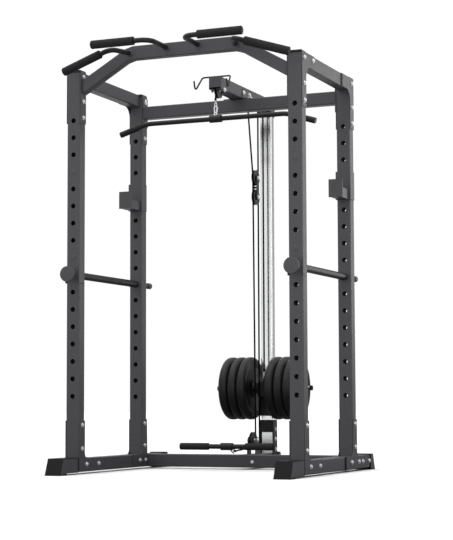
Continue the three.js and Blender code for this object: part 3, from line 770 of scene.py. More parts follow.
class BoltTree(RepeatTree):
    """A washer, a hexagon nut and a stud end on every point, standing along the point's facing."""

    def __init__(self) -> None:
        """Builds the tree."""
        super().__init__(
            "bolt_heads", {"Head Radius": ("NodeSocketFloat", 0.0092),
                "Head Height": ("NodeSocketFloat", 0.0052), "Washer Radius": ("NodeSocketFloat", 0.0118),
                "Washer Height": ("NodeSocketFloat", 0.0016), "Stud Height": ("NodeSocketFloat", 0.0018),
                "Seed": ("NodeSocketInt", 7)})
        graph, given = self.graph, self.given
        washer = self.disc(24, given["Washer Radius"], given["Washer Height"], 0.0)
        hexagon = self.disc(6, given["Head Radius"], given["Head Height"], given["Washer Height"])
        under = graph.sum("ADD", given["Washer Height"], given["Head Height"])
        stud = self.disc(14, graph.sum("MULTIPLY", given["Head Radius"], 0.58), given["Stud Height"], under)
        whole = graph.node("GeometryNodeJoinGeometry")
        for part in (washer, hexagon, stud):
            graph.tree.links.new(part, whole.inputs[0])
        facing = graph.node("GeometryNodeInputNamedAttribute", {"Name": "facing"}, data_type="FLOAT_VECTOR")
        turned = graph.node("FunctionNodeAlignRotationToVector", {"Vector": facing.outputs[0]}, axis="Z")
        random = graph.node("FunctionNodeRandomValue", {"Seed": given["Seed"]}, data_type="FLOAT")
        random.inputs[2].default_value = 0.0
        random.inputs[3].default_value = math.pi
        spin = graph.node(
            "FunctionNodeAxisAngleToRotation", {"Axis": (0.0, 0.0, 1.0), "Angle": random.outputs[1]})
        spun = graph.node(
            "FunctionNodeRotateRotation", {0: turned.outputs[0], 1: spin.outputs[0]},
            rotation_space="LOCAL")
        self.close(
            graph.node("GeometryNodeInstanceOnPoints", {"Points": given["Geometry"],
                "Instance": whole.outputs[0], "Rotation": spun.outputs[0]}).outputs[0])

    def disc(self, sides: int, radius: object, height: object, base: object) -> bpy.types.NodeSocket:
        """A straight-sided disc that stands on a level.

        Args:
            sides: corners round it.
            radius: its radius.
            height: its height.
            base: the level that it stands on.

        Returns:
            The disc's geometry socket.
        """
        graph = self.graph
        made = graph.node(
            "GeometryNodeMeshCylinder", {"Vertices": sides, "Radius": radius, "Depth": height})
        half = graph.sum("MULTIPLY", height, 0.5)
        lift = graph.node("ShaderNodeCombineXYZ", {"Z": graph.sum("ADD", half, base)})
        return graph.node(
            "GeometryNodeTransform", {"Geometry": made.outputs["Mesh"],
                "Translation": lift.outputs[0]}).outputs[0]


class HoleTree(RepeatTree):
    """Rows of round holes drilled from front to rear through an upright."""

    def __init__(self) -> None:
        """Builds the tree."""
        super().__init__(
            "drilled_holes", {"Lowest Hole": ("NodeSocketVector", (0.0, 0.0, 0.4)),
                "Pitch": ("NodeSocketFloat", 0.09), "Count": ("NodeSocketInt", 17),
                "Radius": ("NodeSocketFloat", 0.013), "Drill Length": ("NodeSocketFloat", 0.12)})
        graph, given = self.graph, self.given
        step = graph.node("ShaderNodeCombineXYZ", {"Z": given["Pitch"]})
        row = graph.node(
            "GeometryNodeMeshLine", {"Count": given["Count"], "Start Location": given["Lowest Hole"],
                "Offset": step.outputs[0]}, mode="OFFSET")
        drill = graph.node(
            "GeometryNodeMeshCylinder", {"Vertices": 28, "Radius": given["Radius"],
                "Depth": given["Drill Length"]})
        lying = graph.node(
            "GeometryNodeTransform", {"Geometry": drill.outputs["Mesh"],
                "Rotation": (math.pi / 2, 0.0, 0.0)})
        drills = graph.node(
            "GeometryNodeInstanceOnPoints", {"Points": row.outputs[0], "Instance": lying.outputs[0]})
        solid = graph.node("GeometryNodeRealizeInstances", {0: drills.outputs[0]})
        cut = graph.node(
            "GeometryNodeMeshBoolean", {0: given["Geometry"], 1: solid.outputs[0]}, operation="DIFFERENCE")
        self.close(cut.outputs[0])


class ChainTree(RepeatTree):
    """Round-wire chain links along a line, each turned a quarter from the last."""

    def __init__(self) -> None:
        """Builds the tree."""
        super().__init__(
            "chain_links", {"Start": ("NodeSocketVector", (0.0, 0.0, 0.0)),
                "Step": ("NodeSocketVector", (0.0, 0.0, 0.018)), "Count": ("NodeSocketInt", 3),
                "Width": ("NodeSocketFloat", 0.013), "Length": ("NodeSocketFloat", 0.024),
                "Wire Radius": ("NodeSocketFloat", 0.0025)})
        graph, given = self.graph, self.given
        loop = graph.node(
            "GeometryNodeCurvePrimitiveQuadrilateral", {"Width": given["Width"], "Height": given["Length"]})
        corner = graph.sum("MULTIPLY", given["Width"], 0.48)
        rounded = graph.node(
            "GeometryNodeFilletCurve", {"Curve": loop.outputs[0], "Radius": corner, "Count": 5},
            mode="POLY")
        wire = graph.node(
            "GeometryNodeCurvePrimitiveCircle", {"Resolution": 8, "Radius": given["Wire Radius"]})
        link = graph.node(
            "GeometryNodeCurveToMesh", {"Curve": rounded.outputs[0], "Profile Curve": wire.outputs[0]})
        upright = graph.node(
            "GeometryNodeTransform", {"Geometry": link.outputs[0], "Rotation": (math.pi / 2, 0.0, 0.0)})
        row = graph.node(
            "GeometryNodeMeshLine", {"Count": given["Count"], "Start Location": given["Start"],
                "Offset": given["Step"]}, mode="OFFSET")
        index = graph.node("GeometryNodeInputIndex")
        quarter = graph.sum("MULTIPLY", index.outputs[0], math.pi / 2)
        turn = graph.node("FunctionNodeAxisAngleToRotation", {"Axis": (0.0, 0.0, 1.0), "Angle": quarter})
        self.close(
            graph.node("GeometryNodeInstanceOnPoints", {"Points": row.outputs[0],
                "Instance": upright.outputs[0], "Rotation": turn.outputs[0]}).outputs[0])


@dataclass
class Workshop:
    """The finishes and trees that every sub-assembly draws on."""

    wear: Wardrobe
    bolts: BoltTree
    holes: HoleTree
    chain: ChainTree

    @classmethod
    def open(cls) -> "Workshop":
        """Builds every finish and tree."""
        return cls(Wardrobe.build(), BoltTree(), HoleTree(), ChainTree())

    def bolt_set(self, name: str, body: str, places: Sequence[tuple[Vector, Vector]],
                 **sizes: float) -> bpy.types.Object:
        """A set of bolt heads on one body.

        Args:
            name: the piece's name.
            body: the body that it rides on.
            places: each bolt's seat and the way that it faces.
            sizes: sizes that differ from the tree's own.

        Returns:
            The piece.
        """
        piece = new_object(name, Shape([seat for seat, _ in places], []))
        facing = piece.data.attributes.new("facing", "FLOAT_VECTOR", "POINT")
        for item, (_, way) in zip(facing.data, places):
            item.vector = way
        self.bolts.run(piece, self.wear.zinc, **sizes)
        shade(piece, 30.0)
        return finish_piece(piece, body, self.wear.zinc)


EAST = Vector((1, 0, 0))
NORTH = Vector((0, 1, 0))
UP = Vector((0, 0, 1))


# Frame
@dataclass
class Uprights:
    """Four drilled posts with their plastic caps and hole plugs."""

    wall: float = 0.0025
    corner: float = 0.006
    lowest_hole: float = 0.400
    pitch: float = 0.090
    holes: int = 17
    hole_radius: float = 0.013
    cap: float = 0.0045

    def build(self, shop: Workshop) -> None:
        """Builds the posts, caps and plugs."""
        caps, plugs = Shape(), Shape()
        for side in Side:
            for end in ("front", "rear"):
                name = f"{side.word}_{end}_upright"
                low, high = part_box(name)
                piece = new_object(f"{name}_drilled", section_tube("z", low, high, self.wall, self.corner))
                middle = (low + high) / 2
                shop.holes.run(piece, shop.wear.paint, Lowest_Hole=(middle.x, middle.y, self.lowest_hole),
                               Pitch=self.pitch, Count=self.holes, Radius=self.hole_radius)
                shade(piece, 30.0)
                finish_piece(piece, NODE_BODY[name], shop.wear.paint, [name])
                rim = Vector((0.0008, 0.0008, 0.0))
                caps.add(block(Vector((low.x, low.y, high.z - 0.012)) - rim,
                               Vector((high.x, high.y, high.z + self.cap)) + rim, 0.003))
                if end == "front":
                    for row in (8, 13):
                        seat = Vector((middle.x, low.y, self.lowest_hole + row * self.pitch))
                        profile = [(0.0, -0.0018), (0.0125, -0.0018), (0.0150, -0.0006), (0.0150, 0.0002),
                                   (0.0126, 0.0004), (0.0126, 0.012), (0.0, 0.012)]
                        plugs.add(lathe(profile, seat, NORTH, 28))
        make("upright_caps", caps, "frame", shop.wear.black_steel)
        make("hole_plugs", plugs, "frame", shop.wear.paint)


@dataclass
class BaseFrame:
    """Rails, feet, crossmember and the centre rail with its low pulley ears."""

    corner: float = 0.006
    crossmember_bolt_x: float = 0.054
    ear_round: float = 0.018
    ear_base: float = 0.030
    ear_gap: float = 0.022
    ear_thick: float = 0.004
    eye_behind_block: float = 0.039
    foot_lean: float = 0.034
    sole_long: float = 0.074

    def build(self, shop: Workshop) -> None:
        """Builds the base."""
        paint = shop.wear.paint
        for side in Side:
            name = f"{side.word}_base_rail"
            make(f"{name}_section", section_tube("y", *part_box(name), corner=self.corner), "frame", paint,
                 [name])
        cross = section_tube("x", *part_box("base_crossmember"), corner=self.corner)
        make("base_crossmember_section", cross, "frame", paint, ["base_crossmember"])
        for name in ("left_front_foot", "left_rear_foot", "right_front_foot", "right_rear_foot",
                     "tail_foot"):
            make(f"{name}_moulding", softened_copy(name, 0.0028, 3), "frame", shop.wear.feet,
                 [name])
            self.foot_cheeks(shop, name)
        self.centre_rail(shop)
        self.end_flanges(shop)

    def foot_cheeks(self, shop: Workshop, name: str) -> None:
        """The painted steel cheeks on both sides of a foot, above its sole."""
        low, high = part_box(name)
        tip = 1 if low.y + high.y > 0 else -1
        far, near = (high.y, low.y) if tip > 0 else (low.y, high.y)
        base, top = low.z + 0.007, high.z - 0.004
        lean = self.foot_lean * (base - low.z) / (high.z - low.z)
        under = max(base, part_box("left_base_rail")[0].z)
        step = far - tip * (self.sole_long - 0.001)
        outline = [(near + tip * 0.010, under), (step, under), (step, base),
                   (far - tip * (lean + 0.0035), base),
                   (far - tip * (self.foot_lean + 0.0015), top), (near + tip * 0.010, top)]
        cheeks = Shape()
        for x in (low.x, high.x):
            cheeks.add(prism(outline if tip > 0 else outline[::-1], "x", x - 0.0012, x + 0.0012, 0.0004))
        make(f"{name}_cheeks", cheeks, "frame", shop.wear.paint)

    def centre_rail(self, shop: Workshop) -> None:
        """Builds the centre rail, the ears and lug welded to it, and the axle between the ears."""
        low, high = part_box("centre_base_rail")
        rail_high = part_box("base_crossmember")[1].z
        axle = centre_of("low_pulley")
        shape = section_tube("y", low, Vector((high.x, high.y, rail_high)), corner=self.corner)
        outline = [(axle.y - self.ear_base, rail_high - 0.0008),
                   (axle.y + self.ear_base, rail_high - 0.0008),
                   *arc((axle.y, axle.z), self.ear_round, 0, 180, 24)]
        for side in Side:
            inner = side.value * self.ear_gap
            outer = side.value * (self.ear_gap + self.ear_thick)
            shape.add(prism(outline, "x", inner, outer, 0.0008))
        eye_y = centre_of("floating_lower_pulley").y + self.eye_behind_block
        lug = lathe(ring_profile(0.006, 0.0138, 0.004),
                    Vector((0, eye_y, rail_high + 0.020)), EAST, 28, ring=True)
        foot = block(Vector((-0.004, eye_y - 0.0135, rail_high - 0.001)),
                     Vector((0.004, eye_y + 0.0135, rail_high + 0.013)), 0.0008)
        shape.add(lug, foot)
        make("centre_base_rail_weldment", shape, "frame", shop.wear.paint,
             ["centre_base_rail"])
        seats = [(Vector((s.value * (self.ear_gap + self.ear_thick), axle.y, axle.z)), EAST * s.value)
                 for s in Side]
        shop.bolt_set("low_pulley_axle_nuts", "frame", seats, Head_Radius=0.0088)
        rod = lathe(solid_profile(0.005, 0.024), axle, EAST, 20)
        make("low_pulley_axle", rod, "frame", shop.wear.zinc)

    def end_flanges(self, shop: Workshop) -> None:
        """Builds the welded flanges where the crossmember and the centre rail meet their neighbours."""
        low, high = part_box("base_crossmember")
        shape = Shape()
        for side in Side:
            x = outer_x(side, low, high)
            inside = x - side.value * 0.004
            shape.add(
                block(Vector((inside, low.y - 0.001, low.z)),
                    Vector((x, high.y + 0.001, high.z + 0.0015)), 0.001))
        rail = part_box("centre_base_rail")
        shape.add(
            block(Vector((-0.052, rail[0].y, low.z)), Vector((0.052, rail[0].y + 0.004, high.z)), 0.001))
        make("base_end_flanges", shape, "frame", shop.wear.paint)
        seats = [(Vector((self.crossmember_bolt_x, low.y, (low.z + high.z) / 2 - 0.004)), -NORTH)]
        shop.bolt_set("crossmember_bolt", "frame", seats, Head_Radius=0.0078, Washer_Radius=0.0088)


@dataclass
class Gussets:
    """Outer corner plates, their inner twins, and the bolts through both."""

    thick: float = 0.004
    extra_bolt: Pair = (0.128, 0.024)
    strip: float = 0.020
    top: float = 0.275
    arm_heights: tuple[float, float] = (0.252, 0.130)
    rail_bolt_height: float = 0.050
    front_rail_bolts: tuple[float, ...] = (-0.321, -0.186)
    rear_rail_bolts: tuple[float, ...] = (0.312, 0.431, 0.496, 0.605)
    inner_rear_bolts: tuple[float, ...] = (0.312, 0.386)
    top_drops: tuple[float, ...] = (0.030, 0.160, 0.246)

    def build(self, shop: Workshop) -> None:
        """Builds every plate and bolt."""
        paint = shop.wear.paint
        for side in Side:
            for end in ("front", "rear"):
                for level in ("base", "top"):
                    name = f"{side.word}_{end}_{level}_gusset"
                    make(f"{name}_plate", softened_copy(name, 0.0009), "frame", paint, [name])
        inner = Shape()
        for side in Side:
            inner.add(self.inner_base(side, "front"), self.inner_base(side, "rear"), self.inner_top(side))
        make("inner_corner_plates", inner, "frame", paint)
        # The black end strips are painted shadow: they stand in for the dark gaps in front of the outer plates.
        make("corner_plate_end_strips", self.end_strips(), "frame", shop.wear.feet)
        shop.bolt_set("corner_plate_nuts", "frame", self.bolt_seats())

    def inner_base(self, side: Side, end: str) -> Shape:
        """The plate on the inside of a post and rail, twin of the outer base gusset.

        Args:
            side: which side of the cage.
            end: front or rear.

        Returns:
            The plate.
        """
        low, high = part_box(f"{side.word}_{end}_upright")
        rail_low, rail_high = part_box(f"{side.word}_base_rail")
        face = inner_x(side, low, high)
        near = face - side.value * 0.0003
        far = near - side.value * self.thick
        y0, y1 = low.y + 0.001, high.y - 0.001
        bottom, top = rail_low.z + 0.004, rail_high.z
        fillet = 0.030
        if end == "front":
            start, finish = y0, spot(0, -0.150, 0).y
        else:
            start, finish = spot(0, 0.230, 0).y, spot(0, 0.410, 0).y
        outline = [(start, bottom), (finish, bottom)]
        if finish > y1 + fillet:
            outline += [(finish, top), *arc((y1 + fillet, top + fillet), fillet, 270, 180, 8)]
        outline += [(y1, self.top), (y0, self.top)]
        if start < y0 - fillet:
            outline += [*arc((y0 - fillet, top + fillet), fillet, 360, 270, 8), (start, top)]
        return prism(outline, "x", near, far, 0.0009)

    def end_strips(self) -> Shape:
        """Black strips at the forward end of each outer plate against its rail: painted shadow for the dark gap and
        the shaded plate edge there.
        """
        shape = Shape()
        for side in Side:
            for level, end in (("base", "front"), ("base", "rear"), ("top", "rear")):
                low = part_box(f"{side.word}_{end}_{level}_gusset")[0]
                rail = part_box(f"{side.word}_{level}_rail")
                near = outer_x(side, *rail) + side.value * 0.0001
                shape.add(block(Vector((near, low.y - self.strip, rail[0].z + 0.001)),
                                Vector((near + side.value * self.thick, low.y - 0.0003, rail[1].z - 0.001)),
                                0.0008))
        return shape

    def inner_top(self, side: Side) -> Shape:
        """The strips on the inside of both posts below the arch and the crossbeam."""
        shape = Shape()
        for end in ("front", "rear"):
            low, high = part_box(f"{side.word}_{end}_upright")
            face = inner_x(side, low, high)
            near = face - side.value * 0.0003
            far = near - side.value * self.thick
            top = high.z - (0.168 if end == "front" else 0.0)
            bottom = high.z - 0.278
            shape.add(
                block(Vector((near, low.y + 0.002, bottom)), Vector((far, high.y - 0.002, top)), 0.0009))
        return shape

    def bolt_seats(self) -> list[tuple[Vector, Vector]]:
        """Where each corner bolt's head and nut sit, and which way they face."""
        seats: list[tuple[Vector, Vector]] = []
        for side in Side:
            way = EAST * side.value
            for end in ("front", "rear"):
                low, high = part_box(f"{side.word}_{end}_upright")
                outer = outer_x(side, *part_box(f"{side.word}_{end}_base_gusset"))
                inner = inner_x(side, low, high) - side.value * (self.thick + 0.0003)
                y = (low.y + high.y) / 2
                posts = [*self.arm_heights, *(high.z - drop for drop in self.top_drops)]
                seats += [(Vector((outer, y, z)), way) for z in posts]
                seats += [(Vector((inner, y, z)), -way) for z in posts]
                if end == "front":
                    seats.append((Vector((outer, y + self.extra_bolt[0], high.z - self.extra_bolt[1])), way))
                rail = self.front_rail_bolts if end == "front" else self.rear_rail_bolts
                seats += [(Vector((outer, spot(0, at, 0).y, self.rail_bolt_height)), way) for at in rail]
                inside = self.front_rail_bolts if end == "front" else self.inner_rear_bolts
                seats += [(Vector((inner, spot(0, at, 0).y, self.rail_bolt_height)), -way) for at in inside]
        return seats


@dataclass
class TopFrame:
    """Top rails and rear crossbeam, with the plates at their ends."""

    corner: float = 0.006
    flange: float = 0.004

    def build(self, shop: Workshop) -> None:
        """Builds the top rails and the crossbeam."""
        paint = shop.wear.paint
        flanges = Shape()
        seats: list[tuple[Vector, Vector]] = []
        for side in Side:
            name = f"{side.word}_top_rail"
            low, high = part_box(name)
            make(f"{name}_section", section_tube("y", low, high, corner=self.corner), "frame", paint,
                 [name])
            for y, toward in ((low.y, 1), (high.y, -1)):
                flanges.add(block(Vector((low.x - 0.001, y, low.z - 0.002)),
                                  Vector((high.x + 0.001, y + toward * self.flange, high.z)), 0.001))
        low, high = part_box("rear_top_crossbeam")
        make("rear_top_crossbeam_section", section_tube("x", low, high, corner=self.corner), "frame",
             paint, ["rear_top_crossbeam"])
        for side in Side:
            x = outer_x(side, low, high) - side.value * 0.0045
            flanges.add(block(Vector((x, low.y, low.z - 0.045)),
                              Vector((x - side.value * self.flange, high.y, high.z + 0.050)), 0.001))
            middle = (low.y + high.y) / 2
            seats += [(Vector((x - side.value * self.flange, middle, z)), EAST * -side.value)
                      for z in (low.z - 0.024, high.z + 0.026)]
        make("top_end_flanges", flanges, "frame", paint)
        shop.bolt_set("top_frame_nuts", "frame", seats)


@dataclass
class PullUpArch:
    """The bent tube over the front, its four handles and their foam grips."""

    deep: float = 0.055
    front: float = -0.388
    bend_x: float = 0.303
    end_x: float = 0.5802
    tall: float = 0.070
    end_low: float = 0.125
    middle_low: float = 0.037
    handle: float = 0.013
    foam: float = 0.022
    inner_root: float = 0.089
    inner_reach: float = 0.204
    inner_rise: float = 0.082
    inner_tip: float = 0.415
    grip_length: float = 0.240
    outer_root: Place = (0.296, 0.004, 0.070)
    outer_corner: Place = (0.336, -0.146, 0.065)
    outer_start: Place = (0.398, -0.138, 0.046)
    outer_end: Place = (0.626, -0.107, -0.023)

    def build(self, shop: Workshop) -> None:
        """Builds the arch, handles and grips."""
        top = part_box("left_front_upright")[1].z
        shape = self.tube(top)
        low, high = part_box("left_front_upright")
        for side in Side:
            x = side.value * self.end_x
            shape.add(block(Vector((x, low.y + 0.002, top - 0.165)),
                            Vector((x - side.value * 0.004, high.y - 0.002, top - 0.003)), 0.001))
            shape.add(self.weld(self.inner_path(side, top)), self.weld(self.outer_path(side, top)))
            handles = sweep(self.inner_path(side, top), self.handle, 24)
            handles.add(sweep(self.outer_path(side, top), self.handle, 24))
            make(f"{side.word}_pull_up_handles", handles, NODE_BODY["pull_up_arch"], shop.wear.black_steel)
        make("pull_up_arch_weldment", shape, NODE_BODY["pull_up_arch"], shop.wear.paint,
             ["pull_up_arch"])
        for side in Side:
            inner = self.inner_path(side, top)
            self.grip(shop, f"{side.word}_inner_grip", inner[-1] - EAST * side.value * self.grip_length,
                      inner[-1])
            start = self.outer_point(side, self.outer_start, top)
            self.grip(shop, f"{side.word}_outer_grip", start, self.outer_point(side, self.outer_end, top))

    def tube(self, top: float) -> Shape:
        """The bent rectangular tube, bent at two mitres with a rolled skin."""
        slope = (self.middle_low + self.end_low) / (self.end_x - self.bend_x)
        bend = 0.020
        low = [
            (-self.end_x, top - self.end_low), (-self.bend_x - bend,
                top + self.middle_low - bend * slope), (-self.bend_x + bend, top + self.middle_low),
            (self.bend_x - bend, top + self.middle_low), (self.bend_x + bend,
                top + self.middle_low - bend * slope), (self.end_x, top - self.end_low)]
        rise = self.tall + 0.004
        high = [(self.end_x, low[5][1] + rise), (self.bend_x + bend, low[4][1] + rise - 0.003),
                (self.bend_x - bend, low[3][1] + self.tall), (-self.bend_x + bend, low[2][1] + self.tall),
                (-self.bend_x - bend, low[1][1] + rise - 0.003), (-self.end_x, low[0][1] + rise)]
        front = spot(0, self.front, 0).y
        return prism([*low, *high], "y", front, front + self.deep, 0.006, sharper_than=40)

    def inner_path(self, side: Side, top: float) -> list[Vector]:
        """Centre line of an inner handle, from its root on the arch to its tip."""
        y = self.front - self.inner_reach
        s = side.value
        z = top + self.inner_rise
        return bent([spot(s * self.inner_root, self.front + 0.004, z), spot(s * self.inner_root, y, z),
                     spot(s * self.inner_tip, y, z)], 0.060, 12)

    def outer_point(self, side: Side, place: Place, top: float) -> Vector:
        """A point of an outer handle, given from the arch's front face and the posts' top."""
        return spot(side.value * place[0], self.front + place[1], top + place[2])

    def outer_path(self, side: Side, top: float) -> list[Vector]:
        """Centre line of an outer handle."""
        return bent(
            [self.outer_point(side, p, top) for p in (self.outer_root, self.outer_corner,
                self.outer_end)], 0.050, 12)

    def weld(self, path: list[Vector]) -> Shape:
        """The weld bead round a handle's root."""
        way = (path[1] - path[0]).normalized()
        start = path[0] - NORTH * 0.004 / max(0.2, abs(way.y))
        profile = [(0.0128, 0.006), (0.0128, -0.003), (0.0175, -0.003), (0.0168, 0.001), (0.0145, 0.0035)]
        return lathe(profile, start, way, 24, ring=True)

    def grip(self, shop: Workshop, node: str, start: Vector, end: Vector) -> None:
        """A foam grip with rolled ends, and the plastic plug in the handle's open end."""
        way = (end - start).normalized()
        foam_grip(shop, f"{node}_foam", node, start, end, self.foam)
        profile = [(0.0, -0.010), (0.0118, -0.010), (0.0118, 0.0), (0.0176, 0.0004), (0.0172, 0.0022),
                   (0.010, 0.0032), (0.0, 0.0034)]
        plug = lathe(profile, end - way * 0.0014, way, 28)
        make(f"{node}_end_plug", plug, NODE_BODY[node], shop.wear.feet)


def foam_grip(shop: Workshop, name: str, node: str, start: Vector, end: Vector, outer: float,
              bore: float = 0.0133) -> bpy.types.Object:
    """A foam sleeve over a round handle: slightly full in the middle, rolled in at both ends.

    Args:
        shop: the finishes and trees.
        name: the piece's name.
        node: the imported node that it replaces.
        start: one end of its axis.
        end: the other end.
        outer: its radius.
        bore: the radius of its hole.

    Returns:
        The sleeve.
    """
    length = (end - start).length
    roll = 0.0045
    profile: list[Pair] = [(bore, 0.0012)]
    profile += [(outer - roll + roll * math.sin(t), roll - roll * math.cos(t))
                for t in (math.pi / 2 * i / 6 for i in range(7))]
    for i in range(1, 24):
        share = i / 24
        wave = 0.00012 * math.sin(share * 61.0) + 0.0001 * math.sin(share * 23.0 + 1.3)
        profile.append((outer - 0.0002 + wave, roll + (length - 2 * roll) * share))
    profile += [(outer - roll + roll * math.cos(t), length - roll + roll * math.sin(t))
                for t in (math.pi / 2 * i / 6 for i in range(7))]
    profile.append((bore, length - 0.0012))
    piece = make(name, lathe(profile, start, end - start, 36, ring=True), NODE_BODY[node], shop.wear.foam,
                 [node])
    return piece


# Cable tower
@dataclass
class PulleyArm:
    """The arm over the cage that carries three pulleys and the wire bar rest."""

    corner: float = 0.006
    saddle_behind_wheel: float = 0.049
    slot_half: float = 0.013
    slot_reach: float = 0.052
    wire: float = 0.0045

    def build(self, shop: Workshop) -> None:
        """Builds the arm, its rest, axles and fixings."""
        front = self.front_face()
        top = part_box("left_front_upright")[1].z + 0.002
        bottom = top - 0.070
        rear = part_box("pulley_arm")[1].y
        tube = new_object(
            "pulley_arm_tube", section_tube("y", Vector((-0.035, front, bottom)),
                Vector((0.035, rear, top)), corner=self.corner))
        for name in ("front_pulley", "middle_pulley", "rear_pulley"):
            y = centre_of(name).y
            cutter = new_object(
                "slot_cutter", block(Vector((-self.slot_half, y - self.slot_reach, bottom - 0.01)),
                    Vector((self.slot_half, y + self.slot_reach, bottom + 0.01)), 0.008))
            carve = tube.modifiers.new("slot", "BOOLEAN")
            carve.operation = "DIFFERENCE"
            carve.object = cutter
            settle(tube)
            bpy.data.objects.remove(cutter)
        shade(tube, 30.0)
        finish_piece(tube, "frame", shop.wear.paint, ["pulley_arm"])
        nose = block(Vector((-0.0345, front - 0.0015, bottom + 0.012)),
                     Vector((0.0345, front + 0.003, top - 0.0005)),
                     0.0012)
        tail = block(Vector((-0.0345, rear - 0.004, bottom + 0.0005)),
                     Vector((0.0345, rear, top - 0.0005)), 0.0015)
        make("pulley_arm_nose_plate", nose, "frame", shop.wear.paint)
        make("pulley_arm_end_cap", tail, "frame", shop.wear.feet)
        make("bar_rest_wire", sweep(self.rest_path(front, top), self.wire, 14), "frame",
             shop.wear.black_steel)
        self.saddle(shop, bottom, top)
        axles = Shape()
        seats: list[tuple[Vector, Vector]] = []
        for name in ("front_pulley", "middle_pulley", "rear_pulley"):
            centre = centre_of(name)
            axles.add(lathe(solid_profile(0.005, 0.034), centre, EAST, 20))
            seats += [(Vector((s.value * 0.035, centre.y, centre.z)), EAST * s.value) for s in Side]
        make("arm_pulley_axles", axles, "frame", shop.wear.zinc)
        shop.bolt_set("arm_axle_nuts", "frame", seats)

    def front_face(self) -> float:
        """Where the arm's front end is; the wire rest reaches further forward."""
        return centre_of("front_pulley").y - self.saddle_behind_wheel

    def rest_path(self, front: float, top: float) -> list[Vector]:
        """Centre line of the wire rest, hooked at both ends."""
        back = front + 0.022
        half = [Vector((0.081, back, top + 0.003)), Vector((0.094, back - 0.071, top - 0.081)),
                Vector((0.094, back - 0.086, top - 0.029))]
        other = [Vector((-p.x, p.y, p.z)) for p in reversed(half)]
        return bent([*other, *half], 0.012, 8)

    def saddle(self, shop: Workshop, bottom: float, top: float) -> None:
        """The folded plate that clamps the arm to the crossbeam, with its bolts."""
        low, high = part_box("rear_top_crossbeam")
        y0, y1 = low.y - 0.012, high.y + 0.075
        shape = Shape()
        for side in Side:
            outline = [(y0, bottom + 0.001), (y0 + 0.012, top - 0.016), (y0 + 0.030, top - 0.010),
                       (y1 - 0.030, top - 0.010), (y1, bottom + 0.020), (y1, bottom + 0.001)]
            near, far = side.value * 0.0352, side.value * 0.0392
            shape.add(prism(outline, "x", near, far, 0.0009))
            seat = side.value * 0.080
            shape.add(block(Vector((near, low.y + 0.002, bottom + 0.0001)),
                            Vector((seat, high.y - 0.002, bottom + 0.004)), 0.0009))
        make("arm_saddle", shape, "frame", shop.wear.paint)
        seats = [(Vector((s.value * 0.0392, y, bottom + 0.034)), EAST * s.value)
                 for s in Side for y in (low.y + 0.006, high.y + 0.030)]
        seats += [(Vector((s.value * 0.060, (low.y + high.y) / 2, bottom + 0.004)), UP) for s in Side]
        seats += [(Vector((0.0, y, top)), UP) for y in (low.y + 0.010, high.y + 0.040)]
        shop.bolt_set("arm_saddle_bolts", "frame", seats)


@dataclass
class Pulleys:
    """Six grooved cable wheels, with their bearings."""

    radius: float = 0.045
    groove: float = 0.0341
    half: float = 0.008
    names: tuple[str, ...] = (
        "front_pulley", "middle_pulley", "rear_pulley", "floating_upper_pulley", "floating_lower_pulley",
        "low_pulley")

    def build(self, shop: Workshop) -> None:
        """Builds each wheel and the bearing in its middle."""
        for name in self.names:
            centre = centre_of(name)
            make(f"{name}_wheel", lathe(self.profile(), centre, EAST, 56, ring=True), NODE_BODY[name],
                 shop.wear.nylon, [name])
            spokes = Shape()
            for i in range(6):
                turn = math.radians(60 * i + 12)
                way = Vector((0, math.cos(turn), math.sin(turn)))
                spokes.add(sweep([centre + way * 0.0128, centre + way * 0.0330], [0.0062, 0.0058], 10))
            make(f"{name}_ribs", spokes, NODE_BODY[name], shop.wear.nylon)
            bearing = ring_profile(0.0056, 0.0110, 0.0092)
            make(f"{name}_bearing", lathe(bearing, centre, EAST, 32, ring=True), NODE_BODY[name],
                 shop.wear.zinc)

    def profile(self) -> list[Pair]:
        """The wheel's section from its bore to its groove, all the way round."""
        half = [(0.0108, 0.009), (0.0140, 0.009), (0.0150, 0.0046), (0.0325, 0.0046), (0.0340, 0.0076),
                (0.0440, self.half), (self.radius, 0.0071), (0.0440, 0.0058)]
        bed = [(self.groove + 0.0049 * (1 - math.cos(t)), 0.0049 * math.sin(t))
               for t in (math.pi / 2 * i / 4 for i in range(4, -5, -1))]
        return [*half, *bed, *[(r, -h) for r, h in reversed(half)]]


@dataclass
class FloatingBlock:
    """The two cheeks that carry the floating pulleys."""

    half_wide: float = 0.017

    def build(self, shop: Workshop) -> None:
        """Builds the cheeks, axles, spacer and nuts."""
        low, high = centre_of("floating_lower_pulley"), centre_of("floating_upper_pulley")
        outline = [*arc((low.y, low.z), self.half_wide, 180, 360, 16),
                   *arc((high.y, high.z), self.half_wide, 0, 180, 16)]
        shape = Shape()
        for side in Side:
            near, far = side.value * 0.012, side.value * 0.015
            shape.add(prism(outline, "x", near, far, 0.0007))
        shape.add(lathe(solid_profile(0.006, 0.0125), (low + high) / 2, EAST, 20))
        make("floating_block_cheeks", shape, "floating_block", shop.wear.black_steel,
             ["floating_block"])
        axles = Shape()
        seats: list[tuple[Vector, Vector]] = []
        for centre in (low, high):
            axles.add(lathe(solid_profile(0.005, 0.0128), centre, EAST, 20))
            seats += [(Vector((s.value * 0.015, centre.y, centre.z)), EAST * s.value) for s in Side]
        make("floating_block_axles", axles, "floating_block", shop.wear.zinc)
        shop.bolt_set("floating_block_nuts", "floating_block", seats, Head_Radius=0.0085,
                      Washer_Radius=0.0105)


